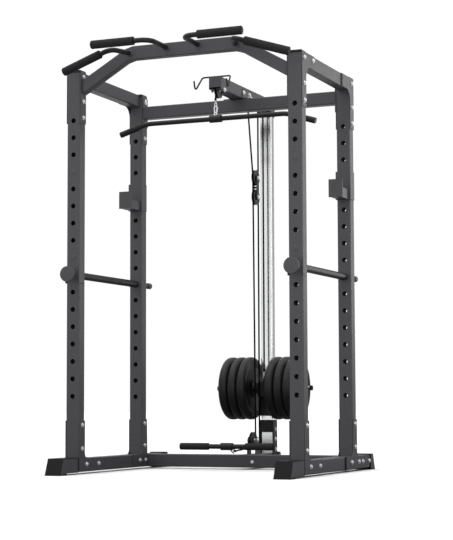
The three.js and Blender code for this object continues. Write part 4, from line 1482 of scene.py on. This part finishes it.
@dataclass
class Tower:
    """The chrome guide column and the bracket at its foot."""

    corner: float = 0.007

    def build(self, shop: Workshop) -> None:
        """Builds the column, the bracket and its bolts."""
        low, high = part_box("chrome_column")
        make("chrome_guide_column", section_tube("z", low, high, corner=self.corner), "frame",
             shop.wear.chrome, ["chrome_column"])
        make("column_bracket_plates", softened_copy("column_bracket", 0.0010), "frame",
             shop.wear.black_steel, ["column_bracket"])
        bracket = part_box("column_bracket")
        middle = (low.y + high.y) / 2
        heights = (0.214, 0.160, 0.102)
        seats = [(Vector((outer_x(s, *bracket), middle, z)), EAST * s.value)
                 for s in Side for z in heights]
        shop.bolt_set("column_bracket_nuts", "frame", seats)
        collar = section_tube(
            "z", Vector((low.x - 0.004, low.y - 0.004, high.z - 0.030)),
            Vector((high.x + 0.004, high.y + 0.004, high.z)), 0.004, 0.010)
        make("column_top_collar", collar, "frame", shop.wear.paint)


@dataclass
class Carriage:
    """The sliding weight carriage with its plate post and cable eye."""

    post_radius: float = 0.014
    cable_arc: float = 0.039
    post_half: float = 0.288
    collar_radius: float = 0.030
    collar_start: float = 0.030

    def build(self, shop: Workshop) -> None:
        """Builds the carriage, its plate post and tips, its liners, and the bolts of its rollers."""
        column_low, column_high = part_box("chrome_column")
        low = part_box("weight_carriage")[0]
        plate = centre_of("left_inner_weight_plate")
        axis = Vector((0, plate.y, plate.z))
        sleeve_low = Vector((-0.042, column_low.y - 0.007, low.z))
        sleeve_high = Vector((0.042, column_high.y + 0.007, axis.z + 0.039))
        shape = section_tube("z", sleeve_low, sleeve_high, 0.005, 0.010)
        shape.add(block(Vector((-0.034, axis.y - 0.028, axis.z - 0.048)),
                        Vector((0.034, sleeve_low.y + 0.001, axis.z + 0.030)), 0.003))
        for side in Side:
            inner = side.value * self.collar_start
            profile = [(0.0, 0.0), (self.collar_radius - 0.002, 0.0), (self.collar_radius, 0.002),
                       (self.collar_radius, 0.024), (self.collar_radius - 0.002, 0.026), (0.0, 0.026)]
            shape.add(lathe(profile, Vector((inner, axis.y, axis.z)), EAST * side.value, 40))
        eye = Vector((0, self.cable_y(), axis.z + 0.048))
        shape.add(lathe(ring_profile(0.007, 0.0138, 0.004), eye, EAST, 28, ring=True))
        shape.add(
            block(eye + Vector((-0.004, -0.0135, -0.020)), eye + Vector((0.004, 0.0135, -0.008)), 0.0008))
        make("carriage_weldment", shape, "carriage", shop.wear.black_steel,
             ["weight_carriage"])
        make("plate_post", self.post(axis), "carriage", shop.wear.steel_hub)
        tips = Shape()
        for side in Side:
            profile = [(0.0, -0.012), (0.0142, -0.012), (0.0144, 0.0), (0.0130, 0.0016), (0.0, 0.002)]
            tips.add(lathe(profile, Vector((side.value * (self.post_half - 0.002), axis.y, axis.z)),
                           EAST * side.value, 28))
        make("plate_post_tips", tips, "carriage", shop.wear.feet)
        liners = Shape()
        for z0, z1 in ((sleeve_low.z, sleeve_low.z + 0.006), (sleeve_high.z - 0.006, sleeve_high.z)):
            liners.add(section_tube("z", Vector((-0.0372, sleeve_low.y + 0.0045, z0 - 0.0008)),
                                    Vector((0.0372, sleeve_high.y - 0.0045, z1 + 0.0008)), 0.0015, 0.006))
        make("carriage_liners", liners, "carriage", shop.wear.zinc)
        seats = [(Vector((s.value * 0.042, sleeve_high.y - 0.030, z)), EAST * s.value)
                 for s in Side for z in (sleeve_low.z + 0.025, sleeve_high.z - 0.022)]
        shop.bolt_set("carriage_roller_bolts", "carriage", seats, Head_Radius=0.008, Washer_Radius=0.0105)

    def cable_y(self) -> float:
        """Where the cable hangs over the carriage."""
        return centre_of("rear_pulley").y + self.cable_arc

    def post(self, axis: Vector) -> Shape:
        """The turned bar that the plates slide on."""
        return lathe(sleeve_profile(0.0, self.post_radius, self.post_half - 0.004), axis, EAST, 36)


@dataclass
class WeightPlates:
    """Six rubber plates with steel hubs."""

    radius: float = 0.177
    half: float = 0.026

    def build(self, shop: Workshop) -> None:
        """Builds the plates and their hubs."""
        for side in Side:
            hubs = Shape()
            body = f"{side.word}_plates"
            for order in ("inner", "middle", "outer"):
                node = f"{side.word}_{order}_weight_plate"
                centre = centre_of(node)
                make(f"{node}_rubber", lathe(self.profile(), centre, EAST, 96, ring=True), body,
                     shop.wear.rubber, [node])
                ring = [(0.0152, -0.0228), (0.0275, -0.0228), (0.0290, -0.0212), (0.0290, 0.0212),
                        (0.0275, 0.0228), (0.0152, 0.0228)]
                hubs.add(lathe(ring, centre, EAST, 40, ring=True))
            make(f"{side.word}_plate_hubs", hubs, body, shop.wear.steel_hub)

    def profile(self) -> list[Pair]:
        """A plate's section: raised hub, dished web, bead, and a full round rim."""
        half = [(0.0285, 0.0214), (0.0460, 0.0214), (0.0490, 0.0204), (0.0520, 0.0172), (0.0560, 0.0160),
                (0.0980, 0.0160), (0.1000, 0.0172), (0.1030, 0.0172), (0.1050, 0.0160), (0.1280, 0.0163),
                (0.1340, 0.0186), (0.1400, 0.0232)]
        rim = [(self.radius - 0.0200 + 0.0200 * math.sin(t), 0.0060 + 0.0200 * math.cos(t))
               for t in (math.pi / 2 * i / 7 for i in range(-2, 8))]
        side = [*half, *[(r, min(h, self.half)) for r, h in rim]]
        return [*side, *[(r, -h) for r, h in reversed(side)]]


# Bars, links and cables
def snap_hook(centre: Vector, along: Vector, across: Vector, length: float, width: float,
              wire: float) -> Shape:
    """A closed snap hook: a pear-shaped wire loop with a thicker sprung gate and its pin.

    Args:
        centre: the middle of the hook.
        along: its long direction.
        across: its wide direction.
        length: how long it is outside.
        width: how wide it is outside.
        wire: the wire's radius.

    Returns:
        The hook.
    """
    top, low = width / 2 - wire, width / 2 * 0.78 - wire
    reach = length / 2 - wire
    loop: list[Vector] = []
    for radius, height, start in ((top, reach - top, 0.0), (low, low - reach, 180.0)):
        for i in range(11):
            turn = math.radians(start + 18 * i)
            rise = height + radius * math.sin(turn)
            loop.append(centre + across * radius * math.cos(turn) + along * rise)
    shape = sweep(loop, wire, 12, loop=True)
    start = centre + across * (low * 0.98) + along * (low - reach)
    end = centre + across * (top * 0.99) + along * (reach - top)
    shape.add(sweep([start, start.lerp(end, 0.5), end], [wire * 1.25, wire * 1.35, wire * 1.2], 12))
    out = along.cross(across).normalized()
    shape.add(sweep([start - out * wire * 1.7, start + out * wire * 1.7], wire * 0.6, 10))
    return shape


@dataclass
class PullDownBar:
    """The wide bent bar, its swivel, and the links that hang it from the cable."""

    radius: float = 0.013
    straight: float = 0.402
    tip: float = 0.566
    drop: float = 0.050
    sleeve: float = 0.020
    grip: float = 0.0165
    grip_length: float = 0.118

    def build(self, shop: Workshop) -> None:
        """Builds the bar, its grips and its links."""
        low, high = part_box("lat_bar")
        y = (low.y + high.y) / 2
        z = high.z - 0.036
        path = bent([Vector((-self.tip, y, z - self.drop)), Vector((-self.straight, y, z)),
                     Vector((self.straight, y, z)), Vector((self.tip, y, z - self.drop))], 0.160, 14)
        shape = sweep(path, self.radius, 24)
        sleeve = sleeve_profile(0.0125, self.sleeve, 0.034)
        shape.add(lathe(sleeve, Vector((0, y, z)), EAST, 36, ring=True))
        shape.add(block(Vector((-0.010, y - 0.004, z + 0.015)),
                        Vector((0.010, y + 0.004, high.z - 0.003)), 0.001))
        make("pull_down_bar", shape, "lat_bar", shop.wear.black_steel, ["lat_bar"])
        for side, end in ((Side.LEFT, path[0]), (Side.RIGHT, path[-1])):
            inward = (path[1] - path[0] if side is Side.LEFT else path[-2] - path[-1]).normalized()
            start = end + inward * self.grip_length
            outer = end - inward * 0.001
            self.end_grip(shop, f"{side.word}_bar_end_grip", start, outer)
        self.links(shop, y, high.z)

    def end_grip(self, shop: Workshop, name: str, start: Vector, end: Vector) -> None:
        """A ribbed rubber grip over a tip of the bar."""
        length = (end - start).length
        profile: list[Pair] = [
            (0.0, 0.001), (self.grip - 0.002, 0.001), (self.grip, 0.003), (self.grip, 0.009)]
        for i in range(8):
            base = 0.012 + (length - 0.026) * i / 8
            profile += [(self.grip - 0.0010, base), (self.grip - 0.0010, base + 0.0030),
                        (self.grip - 0.0002, base + 0.0040), (self.grip - 0.0002, base + 0.0105)]
        profile += [(self.grip, length - 0.006), (self.grip - 0.001, length - 0.001),
                    (self.grip - 0.004, length), (0.0, length + 0.0005)]
        make(name, lathe(profile, start, end - start, 32), "lat_bar", shop.wear.rubber)

    def links(self, shop: Workshop, y: float, lug: float) -> None:
        """The swivel eye on the bar, the snap hook and the chain up to the cable's end."""
        link_low, link_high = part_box("lat_link")
        swivel = lathe(
            ring_profile(0.0042, 0.0100, 0.0045), Vector((0, y, lug - 0.0085)), NORTH, 24, ring=True)
        make("pull_down_swivel_eye", swivel, "lat_bar", shop.wear.zinc)
        hook = snap_hook(Vector((0, y, link_low.z + 0.012)), UP, EAST, 0.046, 0.024, 0.0032)
        make("pull_down_snap_hook", hook, "lat_hanger", shop.wear.zinc, ["lat_link"])
        chain = new_object("pull_down_chain", Shape([Vector((0, y, link_low.z))], []))
        shop.chain.run(chain, shop.wear.zinc, Start=(0, y, link_low.z + 0.042), Step=(0, 0, 0.0125),
                       Count=3, Width=0.0115, Length=0.0185, Wire_Radius=0.0021)
        shade(chain, 50.0)
        finish_piece(chain, "lat_hanger", shop.wear.zinc)
        stop = [(0.0, -0.014), (0.0055, -0.014), (0.0065, -0.012), (0.0065, 0.004), (0.0045, 0.010),
                (0.0, 0.011)]
        make("pull_down_cable_stop", lathe(stop, Vector((0, y, link_high.z - 0.004)), UP, 24), "lat_hanger",
             shop.wear.feet)


@dataclass
class RowBar:
    """The short low bar, its foam grips and its snap hook."""

    radius: float = 0.013
    cable_drop: float = 0.027
    hook_drop: float = 0.016
    hook_lean: Pair = (0.94, 0.342)
    half: float = 0.270
    grip: Pair = (0.105, 0.268)
    sleeve: float = 0.020

    def build(self, shop: Workshop) -> None:
        """Builds the bar, grips and link."""
        low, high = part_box("row_bar")
        middle = Vector((0, low.y + self.sleeve, centre_of("row_bar").z))
        shape = lathe(solid_profile(self.radius, self.half), middle, EAST, 28)
        ring = sleeve_profile(0.0125, self.sleeve, 0.034)
        shape.add(lathe(ring, middle, EAST, 36, ring=True))
        lug = high.y
        shape.add(block(Vector((-0.004, middle.y + 0.015, middle.z - 0.010)),
                        Vector((0.004, lug - 0.006, middle.z + 0.010)), 0.001))
        make("row_bar_steel", shape, "row_bar", shop.wear.black_steel, ["row_bar"])
        for side in Side:
            start, end = (middle + EAST * side.value * reach for reach in self.grip)
            foam_grip(shop, f"{side.word}_row_grip_foam", f"{side.word}_row_grip", start, end, 0.019)
            cap = [(0.0, -0.010), (0.0118, -0.010), (0.0118, 0.0), (0.0185, 0.0004), (0.0180, 0.0020),
                   (0.010, 0.0028), (0.0, 0.0030)]
            make(
                f"{side.word}_row_end_cap", lathe(cap, end + EAST * side.value * 0.0006,
                    EAST * side.value, 32), "row_bar", shop.wear.feet)
        link_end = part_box("row_link")[1].y
        swivel = lathe(
            ring_profile(0.0045, 0.0105, 0.004), Vector((0, lug - 0.009, middle.z)), UP, 24, ring=True)
        make("row_bar_swivel_eye", swivel, "row_bar", shop.wear.zinc)
        along, down = self.hook_lean
        centre = Vector((0, centre_of("row_link").y - 0.006, middle.z - self.hook_drop))
        hook = snap_hook(centre, Vector((0, along, -down)), Vector((0, down, along)), 0.078, 0.036, 0.0040)
        make("row_snap_hook", hook, "row_hanger", shop.wear.zinc, ["row_link"])
        stop = [(0.0, -0.016), (0.0060, -0.016), (0.0070, -0.013), (0.0070, 0.004), (0.0045, 0.010),
                (0.0, 0.011)]
        seat = Vector((0, link_end - 0.004, middle.z - self.cable_drop))
        make("row_cable_stop", lathe(stop, seat, NORTH, 24),
             "row_hanger", shop.wear.feet)


@dataclass
class Cables:
    """Both coated cables, split where they pass from one moving body to the next.

    The straight runs are drawn between where two bodies stand now and are tied to neither; the wraps ride on the
    body that holds their pulley.
    """

    radius: float = 0.0047
    arc_radius: float = 0.039

    def build(self, shop: Workshop) -> None:
        """Builds every run and wrap of both cables."""
        front, middle, rear = (centre_of(n) for n in ("front_pulley", "middle_pulley", "rear_pulley"))
        upper, lower = centre_of("floating_upper_pulley"), centre_of("floating_lower_pulley")
        low_wheel = centre_of("low_pulley")
        link_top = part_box("lat_link")[1].z
        carriage_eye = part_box("weight_carriage")[1].z
        over_front, over_middle = self.wrap(front, 180, 90), self.wrap(middle, 90, 10)
        under_upper, over_rear = self.wrap(upper, 190, 360), self.wrap(rear, 180, 0)
        hanging = Vector((0, over_front[0].y, link_top + 0.0003))
        held = Vector((0, over_rear[-1].y, carriage_eye + 0.0003))
        first = self.fixed(shop, "pull_down_cable_over_arm", "frame", [*over_front, *over_middle])
        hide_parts("lat_cable")
        self.fixed(shop, "pull_down_cable_on_block", "floating_block", under_upper)
        self.fixed(shop, "pull_down_cable_over_rear", "frame", over_rear)
        self.run(shop, "pull_down_cable_front_run", "frame", "lat_hanger", over_front[0], hanging)
        self.run(shop, "pull_down_cable_block_run", "frame", "floating_block", over_middle[-1],
                 under_upper[0])
        self.run(shop, "pull_down_cable_return_run", "frame", "floating_block", over_rear[0],
                 under_upper[-1])
        self.run(shop, "pull_down_cable_carriage_run", "frame", "carriage", over_rear[-1], held)
        under_low, over_lower = self.wrap(low_wheel, 272, 359), self.wrap(lower, 179, 0)
        tied = Vector((0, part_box("row_link")[1].y + 0.0003, centre_of("row_bar").z - RowBar.cable_drop))
        rail_lug = Vector((0, over_lower[-1].y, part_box("base_crossmember")[1].z + 0.0343))
        second = self.fixed(shop, "row_cable_under_low_pulley", "frame", under_low)
        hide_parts("row_cable")
        self.fixed(shop, "row_cable_on_block", "floating_block", over_lower)
        self.run(shop, "row_cable_bar_run", "frame", "row_hanger", under_low[0], tied)
        self.run(shop, "row_cable_block_run", "frame", "floating_block", under_low[-1], over_lower[0])
        self.run(shop, "row_cable_anchor_run", "frame", "floating_block", rail_lug, over_lower[-1])
        self.fittings(shop, rail_lug, held)

    def wrap(self, wheel: Vector, start: float, end: float) -> list[Vector]:
        """Points of a cable lying round a wheel, between two angles in degrees."""
        steps = max(6, int(abs(end - start) / 7))
        return [Vector((0, a, b)) for a, b in arc((wheel.y, wheel.z), self.arc_radius, start, end, steps)]

    def fixed(self, shop: Workshop, name: str, body: str, path: list[Vector]) -> bpy.types.Object:
        """A stretch that stays with one body."""
        return make(name, sweep(path, self.radius, 14), body, shop.wear.cable)

    def run(self, shop: Workshop, name: str, first: str, second: str, start: Vector, end: Vector) -> None:
        """A straight stretch between two bodies, with a ring of points at each end only."""
        piece = new_object(name, sweep([start, end], self.radius, 14))
        for face in piece.data.polygons:
            face.use_smooth = True
        piece.data.set_sharp_from_angle(angle=math.radians(38))
        piece.data.materials.append(shop.wear.cable.material)
        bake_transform(piece)
        log.info("%s stretches from %s to %s", name, first, second)

    def fittings(self, shop: Workshop, rail_lug: Vector, held: Vector) -> None:
        """The ferrules at the fixed ends, and the hook on the carriage's eye."""
        sleeve = [(0.0, -0.012), (0.0050, -0.012), (0.0050, 0.012), (0.0032, 0.015), (0.0, 0.0152)]
        make("row_anchor_ferrule", lathe(sleeve, rail_lug + UP * 0.004, UP, 20), "frame", shop.wear.zinc)
        loop = snap_hook(rail_lug - UP * 0.011, UP, NORTH, 0.030, 0.017, 0.0021)
        make("row_anchor_hook", loop, "frame", shop.wear.zinc)
        make("carriage_ferrule", lathe(sleeve, held + UP * 0.018, UP, 20), "carriage", shop.wear.zinc)
        hook = snap_hook(held - UP * 0.002, UP, NORTH, 0.040, 0.021, 0.0027)
        make("carriage_snap_hook", hook, "carriage", shop.wear.zinc)


# J-hooks and safety bars
@dataclass
class BarHooks:
    """Two J-hooks with rubber liners."""

    liner: float = 0.0022

    def build(self, shop: Workshop) -> None:
        """Builds the hooks and their liners."""
        for side in Side:
            node = f"{side.word}_j_hook"
            low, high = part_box(node)
            body = NODE_BODY[node]
            make(f"{node}_plates", softened_copy(node, 0.0010), body, shop.wear.paint,
                 [node])
            middle = (low.x + high.x) / 2
            shelf = low.z + 0.052
            pads = block(Vector((middle - 0.029, low.y + 0.0062, shelf)),
                         Vector((middle + 0.029, low.y + 0.122, shelf + self.liner)), 0.0009)
            pads.add(block(Vector((middle - 0.036, low.y + 0.0061, shelf)),
                           Vector((middle + 0.036, low.y + 0.0061 + self.liner, low.z + 0.092)), 0.0009))
            make(f"{node}_liner", pads, body, shop.wear.rubber)


@dataclass
class SafetyBars:
    """Two long safety bars: rod, disc, sleeve, knob, and the brackets on the front posts."""

    disc: float = 0.041
    shaft: float = 0.0115
    sleeve: float = 0.019
    knob: float = 0.017

    def build(self, shop: Workshop) -> None:
        """Builds both safety bars."""
        brackets = Shape()
        for side in Side:
            rod_node, sleeve_node = f"{side.word}_safety_rod", f"{side.word}_safety_sleeve"
            low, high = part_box(rod_node)
            centre = centre_of(rod_node)
            start = Vector((centre.x, low.y, centre.z))
            long = high.y - low.y
            profile = [(0.0, 0.0), (self.disc - 0.003, 0.0), (self.disc - 0.0008, 0.0010),
                       (self.disc, 0.003),
                       (self.disc, 0.0095), (self.disc - 0.0008, 0.0113), (self.disc - 0.0025, 0.012),
                       (self.shaft + 0.004, 0.012), (self.shaft, 0.016), (self.shaft, long - 0.040),
                       (self.shaft + 0.003, long - 0.040), (self.knob - 0.001, long - 0.037),
                       (self.knob, long - 0.034), (self.knob, long - 0.004),
                       (self.knob - 0.003, long - 0.0005),
                       (0.0, long)]
            make(f"{rod_node}_turned", lathe(profile, start, NORTH, 48), NODE_BODY[rod_node],
                 shop.wear.paint, [rod_node])
            s_low, s_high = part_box(sleeve_node)
            reach = s_high.y - s_low.y
            tube = [(r, h + reach / 2) for r, h in sleeve_profile(0.0125, self.sleeve, reach / 2)]
            make(
                f"{sleeve_node}_tube", lathe(tube, Vector((centre.x, s_low.y, centre.z)), NORTH, 40,
                    ring=True), NODE_BODY[sleeve_node], shop.wear.black_steel, [sleeve_node])
            brackets.add(self.bracket(side, centre))
        make("safety_brackets", brackets, "frame", shop.wear.paint)

    def bracket(self, side: Side, centre: Vector) -> Shape:
        """The cheeks welded to both sides of a front post beside the bar."""
        low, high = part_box(f"{side.word}_front_upright")
        shape = Shape()
        for way, face in ((-1, low.x), (1, high.x)):
            near, far = face + way * 0.0002, face + way * 0.0045
            shape.add(block(Vector((near, low.y - 0.008, centre.z - 0.044)),
                            Vector((far, low.y + 0.040, centre.z + 0.044)), 0.0009))
        return shape


# Studio
@dataclass
class Studio:
    """Camera, lights, backdrop and floor."""

    eye: Place = (3.3776, -7.9956, 0.3603)
    yaw: float = 22.807
    pitch: float = 4.704
    roll: float = -0.211
    lens: float = 108.153
    mat_reach: float = 3.6
    mat_bounce: float = 0.18
    dark_corner: float = 0.56

    def camera(self) -> None:
        """Sets up the camera."""
        data = bpy.data.cameras.new("studio_camera")
        data.sensor_width = 36.0
        data.lens = self.lens
        data.clip_start, data.clip_end = 0.05, 200.0
        camera = bpy.data.objects.new("studio_camera", data)
        bpy.context.scene.collection.objects.link(camera)
        yaw, pitch, roll = (math.radians(a) for a in (self.yaw, self.pitch, self.roll))
        look = Vector((-math.sin(yaw) * math.cos(pitch), math.cos(yaw) * math.cos(pitch), math.sin(pitch)))
        level = Vector((math.cos(yaw), math.sin(yaw), 0.0))
        rise = level.cross(look)
        right = level * math.cos(roll) + rise * math.sin(roll)
        upward = rise * math.cos(roll) - level * math.sin(roll)
        turn = camera.matrix_world.to_3x3()
        turn.col[0], turn.col[1], turn.col[2] = right, upward, -look
        camera.matrix_world = turn.to_4x4()
        camera.location = self.eye
        bpy.context.scene.camera = camera

    def world(self) -> None:
        """A white surround: plain white behind the cage, a little softer where it only lights it."""
        world = bpy.data.worlds.new("studio_surround")
        world.use_nodes = True
        world.node_tree.nodes.clear()
        graph = Graph(world.node_tree)
        seen = graph.node("ShaderNodeLightPath").outputs["Is Camera Ray"]
        behind = graph.node("ShaderNodeBackground", {"Color": (1.0, 1.0, 1.0, 1.0), "Strength": 1.02})
        place = graph.node("ShaderNodeTexCoord").outputs["Generated"]
        up = graph.node("ShaderNodeSeparateXYZ", {0: place}).outputs["Z"]
        fade = graph.node(
            "ShaderNodeMapRange", {"Value": up, "From Min": -0.2, "From Max": 1.0, "To Min": 0.84,
                "To Max": 0.95}).outputs[0]
        toward = graph.node(
            "ShaderNodeVectorMath", {0: place, 1: (0.39, 0.92, 0.0)},
            operation="DOT_PRODUCT").outputs["Value"]
        dark = graph.node(
            "ShaderNodeMapRange", {"Value": toward, "From Min": 0.55, "From Max": 1.0,
                "To Max": self.dark_corner}).outputs[0]
        level = graph.sum("SUBTRACT", fade, dark)
        around = graph.node("ShaderNodeBackground", {"Color": (1.0, 1.0, 1.0, 1.0), "Strength": level})
        both = graph.node("ShaderNodeMixShader", {0: seen, 1: around.outputs[0], 2: behind.outputs[0]})
        graph.node("ShaderNodeOutputWorld", {"Surface": both.outputs[0]})
        bpy.context.scene.world = world

    def sun(self, name: str, strength: float, soft: float, toward: Vector) -> None:
        """A soft far light that shines along a direction."""
        data = bpy.data.lights.new(name, "SUN")
        data.energy = strength
        data.angle = math.radians(soft)
        light = bpy.data.objects.new(name, data)
        light.rotation_mode = "QUATERNION"
        light.rotation_quaternion = toward.normalized().to_track_quat("-Z", "Y")
        bpy.context.scene.collection.objects.link(light)

    def softbox(self, name: str, place: Vector, aim: Vector, wide: float, tall: float,
                power: float) -> None:
        """A large rectangular light that the camera doesn't see."""
        data = bpy.data.lights.new(name, "AREA")
        data.shape = "RECTANGLE"
        data.size, data.size_y = wide, tall
        data.energy = power
        light = bpy.data.objects.new(name, data)
        light.location = place
        light.rotation_mode = "QUATERNION"
        light.rotation_quaternion = (aim - place).normalized().to_track_quat("-Z", "Y")
        light.visible_camera = False
        bpy.context.scene.collection.objects.link(light)

    def floor(self) -> None:
        """A wide pale floor."""
        floor = new_object("studio_floor", block(Vector((-60, -60, -0.02)), Vector((60, 60, 0.0)), 0.001))
        material = bpy.data.materials.new("pale_floor")
        material.use_nodes = True
        material.node_tree.nodes.clear()
        graph = Graph(material.node_tree)
        place = graph.node("ShaderNodeTexCoord").outputs["Object"]
        far = graph.node("ShaderNodeVectorMath", {0: place}, operation="LENGTH").outputs["Value"]
        bounce = graph.node(
            "ShaderNodeMapRange", {"Value": far, "From Min": self.mat_reach,
                "From Max": self.mat_reach * 2.2, "To Min": self.mat_bounce, "To Max": 0.93}).outputs[0]
        seen = graph.node("ShaderNodeLightPath").outputs["Is Camera Ray"]
        pale = graph.node("ShaderNodeMapRange", {"Value": seen, "To Min": bounce,
                                                 "To Max": 0.93}).outputs[0]
        tint = graph.node("ShaderNodeCombineColor", {0: pale, 1: pale, 2: pale}).outputs[0]
        matt = graph.node("ShaderNodeBsdfDiffuse", {"Color": tint})
        graph.node("ShaderNodeOutputMaterial", {"Surface": matt.outputs[0]})
        floor.data.materials.append(material)

    def build(self) -> None:
        """Builds the studio."""
        bpy.context.scene.view_settings.view_transform = "Standard"
        self.camera()
        self.world()
        self.floor()
        self.sun("overhead_light", 1.3, 60.0, Vector((0.25, 0.35, -1.0)))
        self.softbox("right_rear_softbox", Vector((2.0, 2.6, 1.9)), Vector((0.7, 0.0, 1.4)), 1.2, 2.2, 20.0)
        self.softbox("right_front_softbox", Vector((1.9, -2.6, 1.2)), Vector((0.6, -0.7, 1.0)), 1.0, 2.2,
                     13.0)


def main() -> None:
    """Builds the studio and every sub-assembly in order."""
    logging.basicConfig(level=logging.INFO, format="%(name)s: %(message)s")
    Studio().build()
    shop = Workshop.open()
    assemblies = (Uprights(), BaseFrame(), Gussets(), TopFrame(), PullUpArch(), PulleyArm(), Pulleys(),
                  FloatingBlock(), Tower(), Carriage(), WeightPlates(), PullDownBar(), RowBar(), Cables(),
                  BarHooks(), SafetyBars())
    for assembly in assemblies:
        assembly.build(shop)
        log.info("%s is built", type(assembly).__name__)
    bpy.context.view_layer.update()


if __name__ == "__main__":
    main()
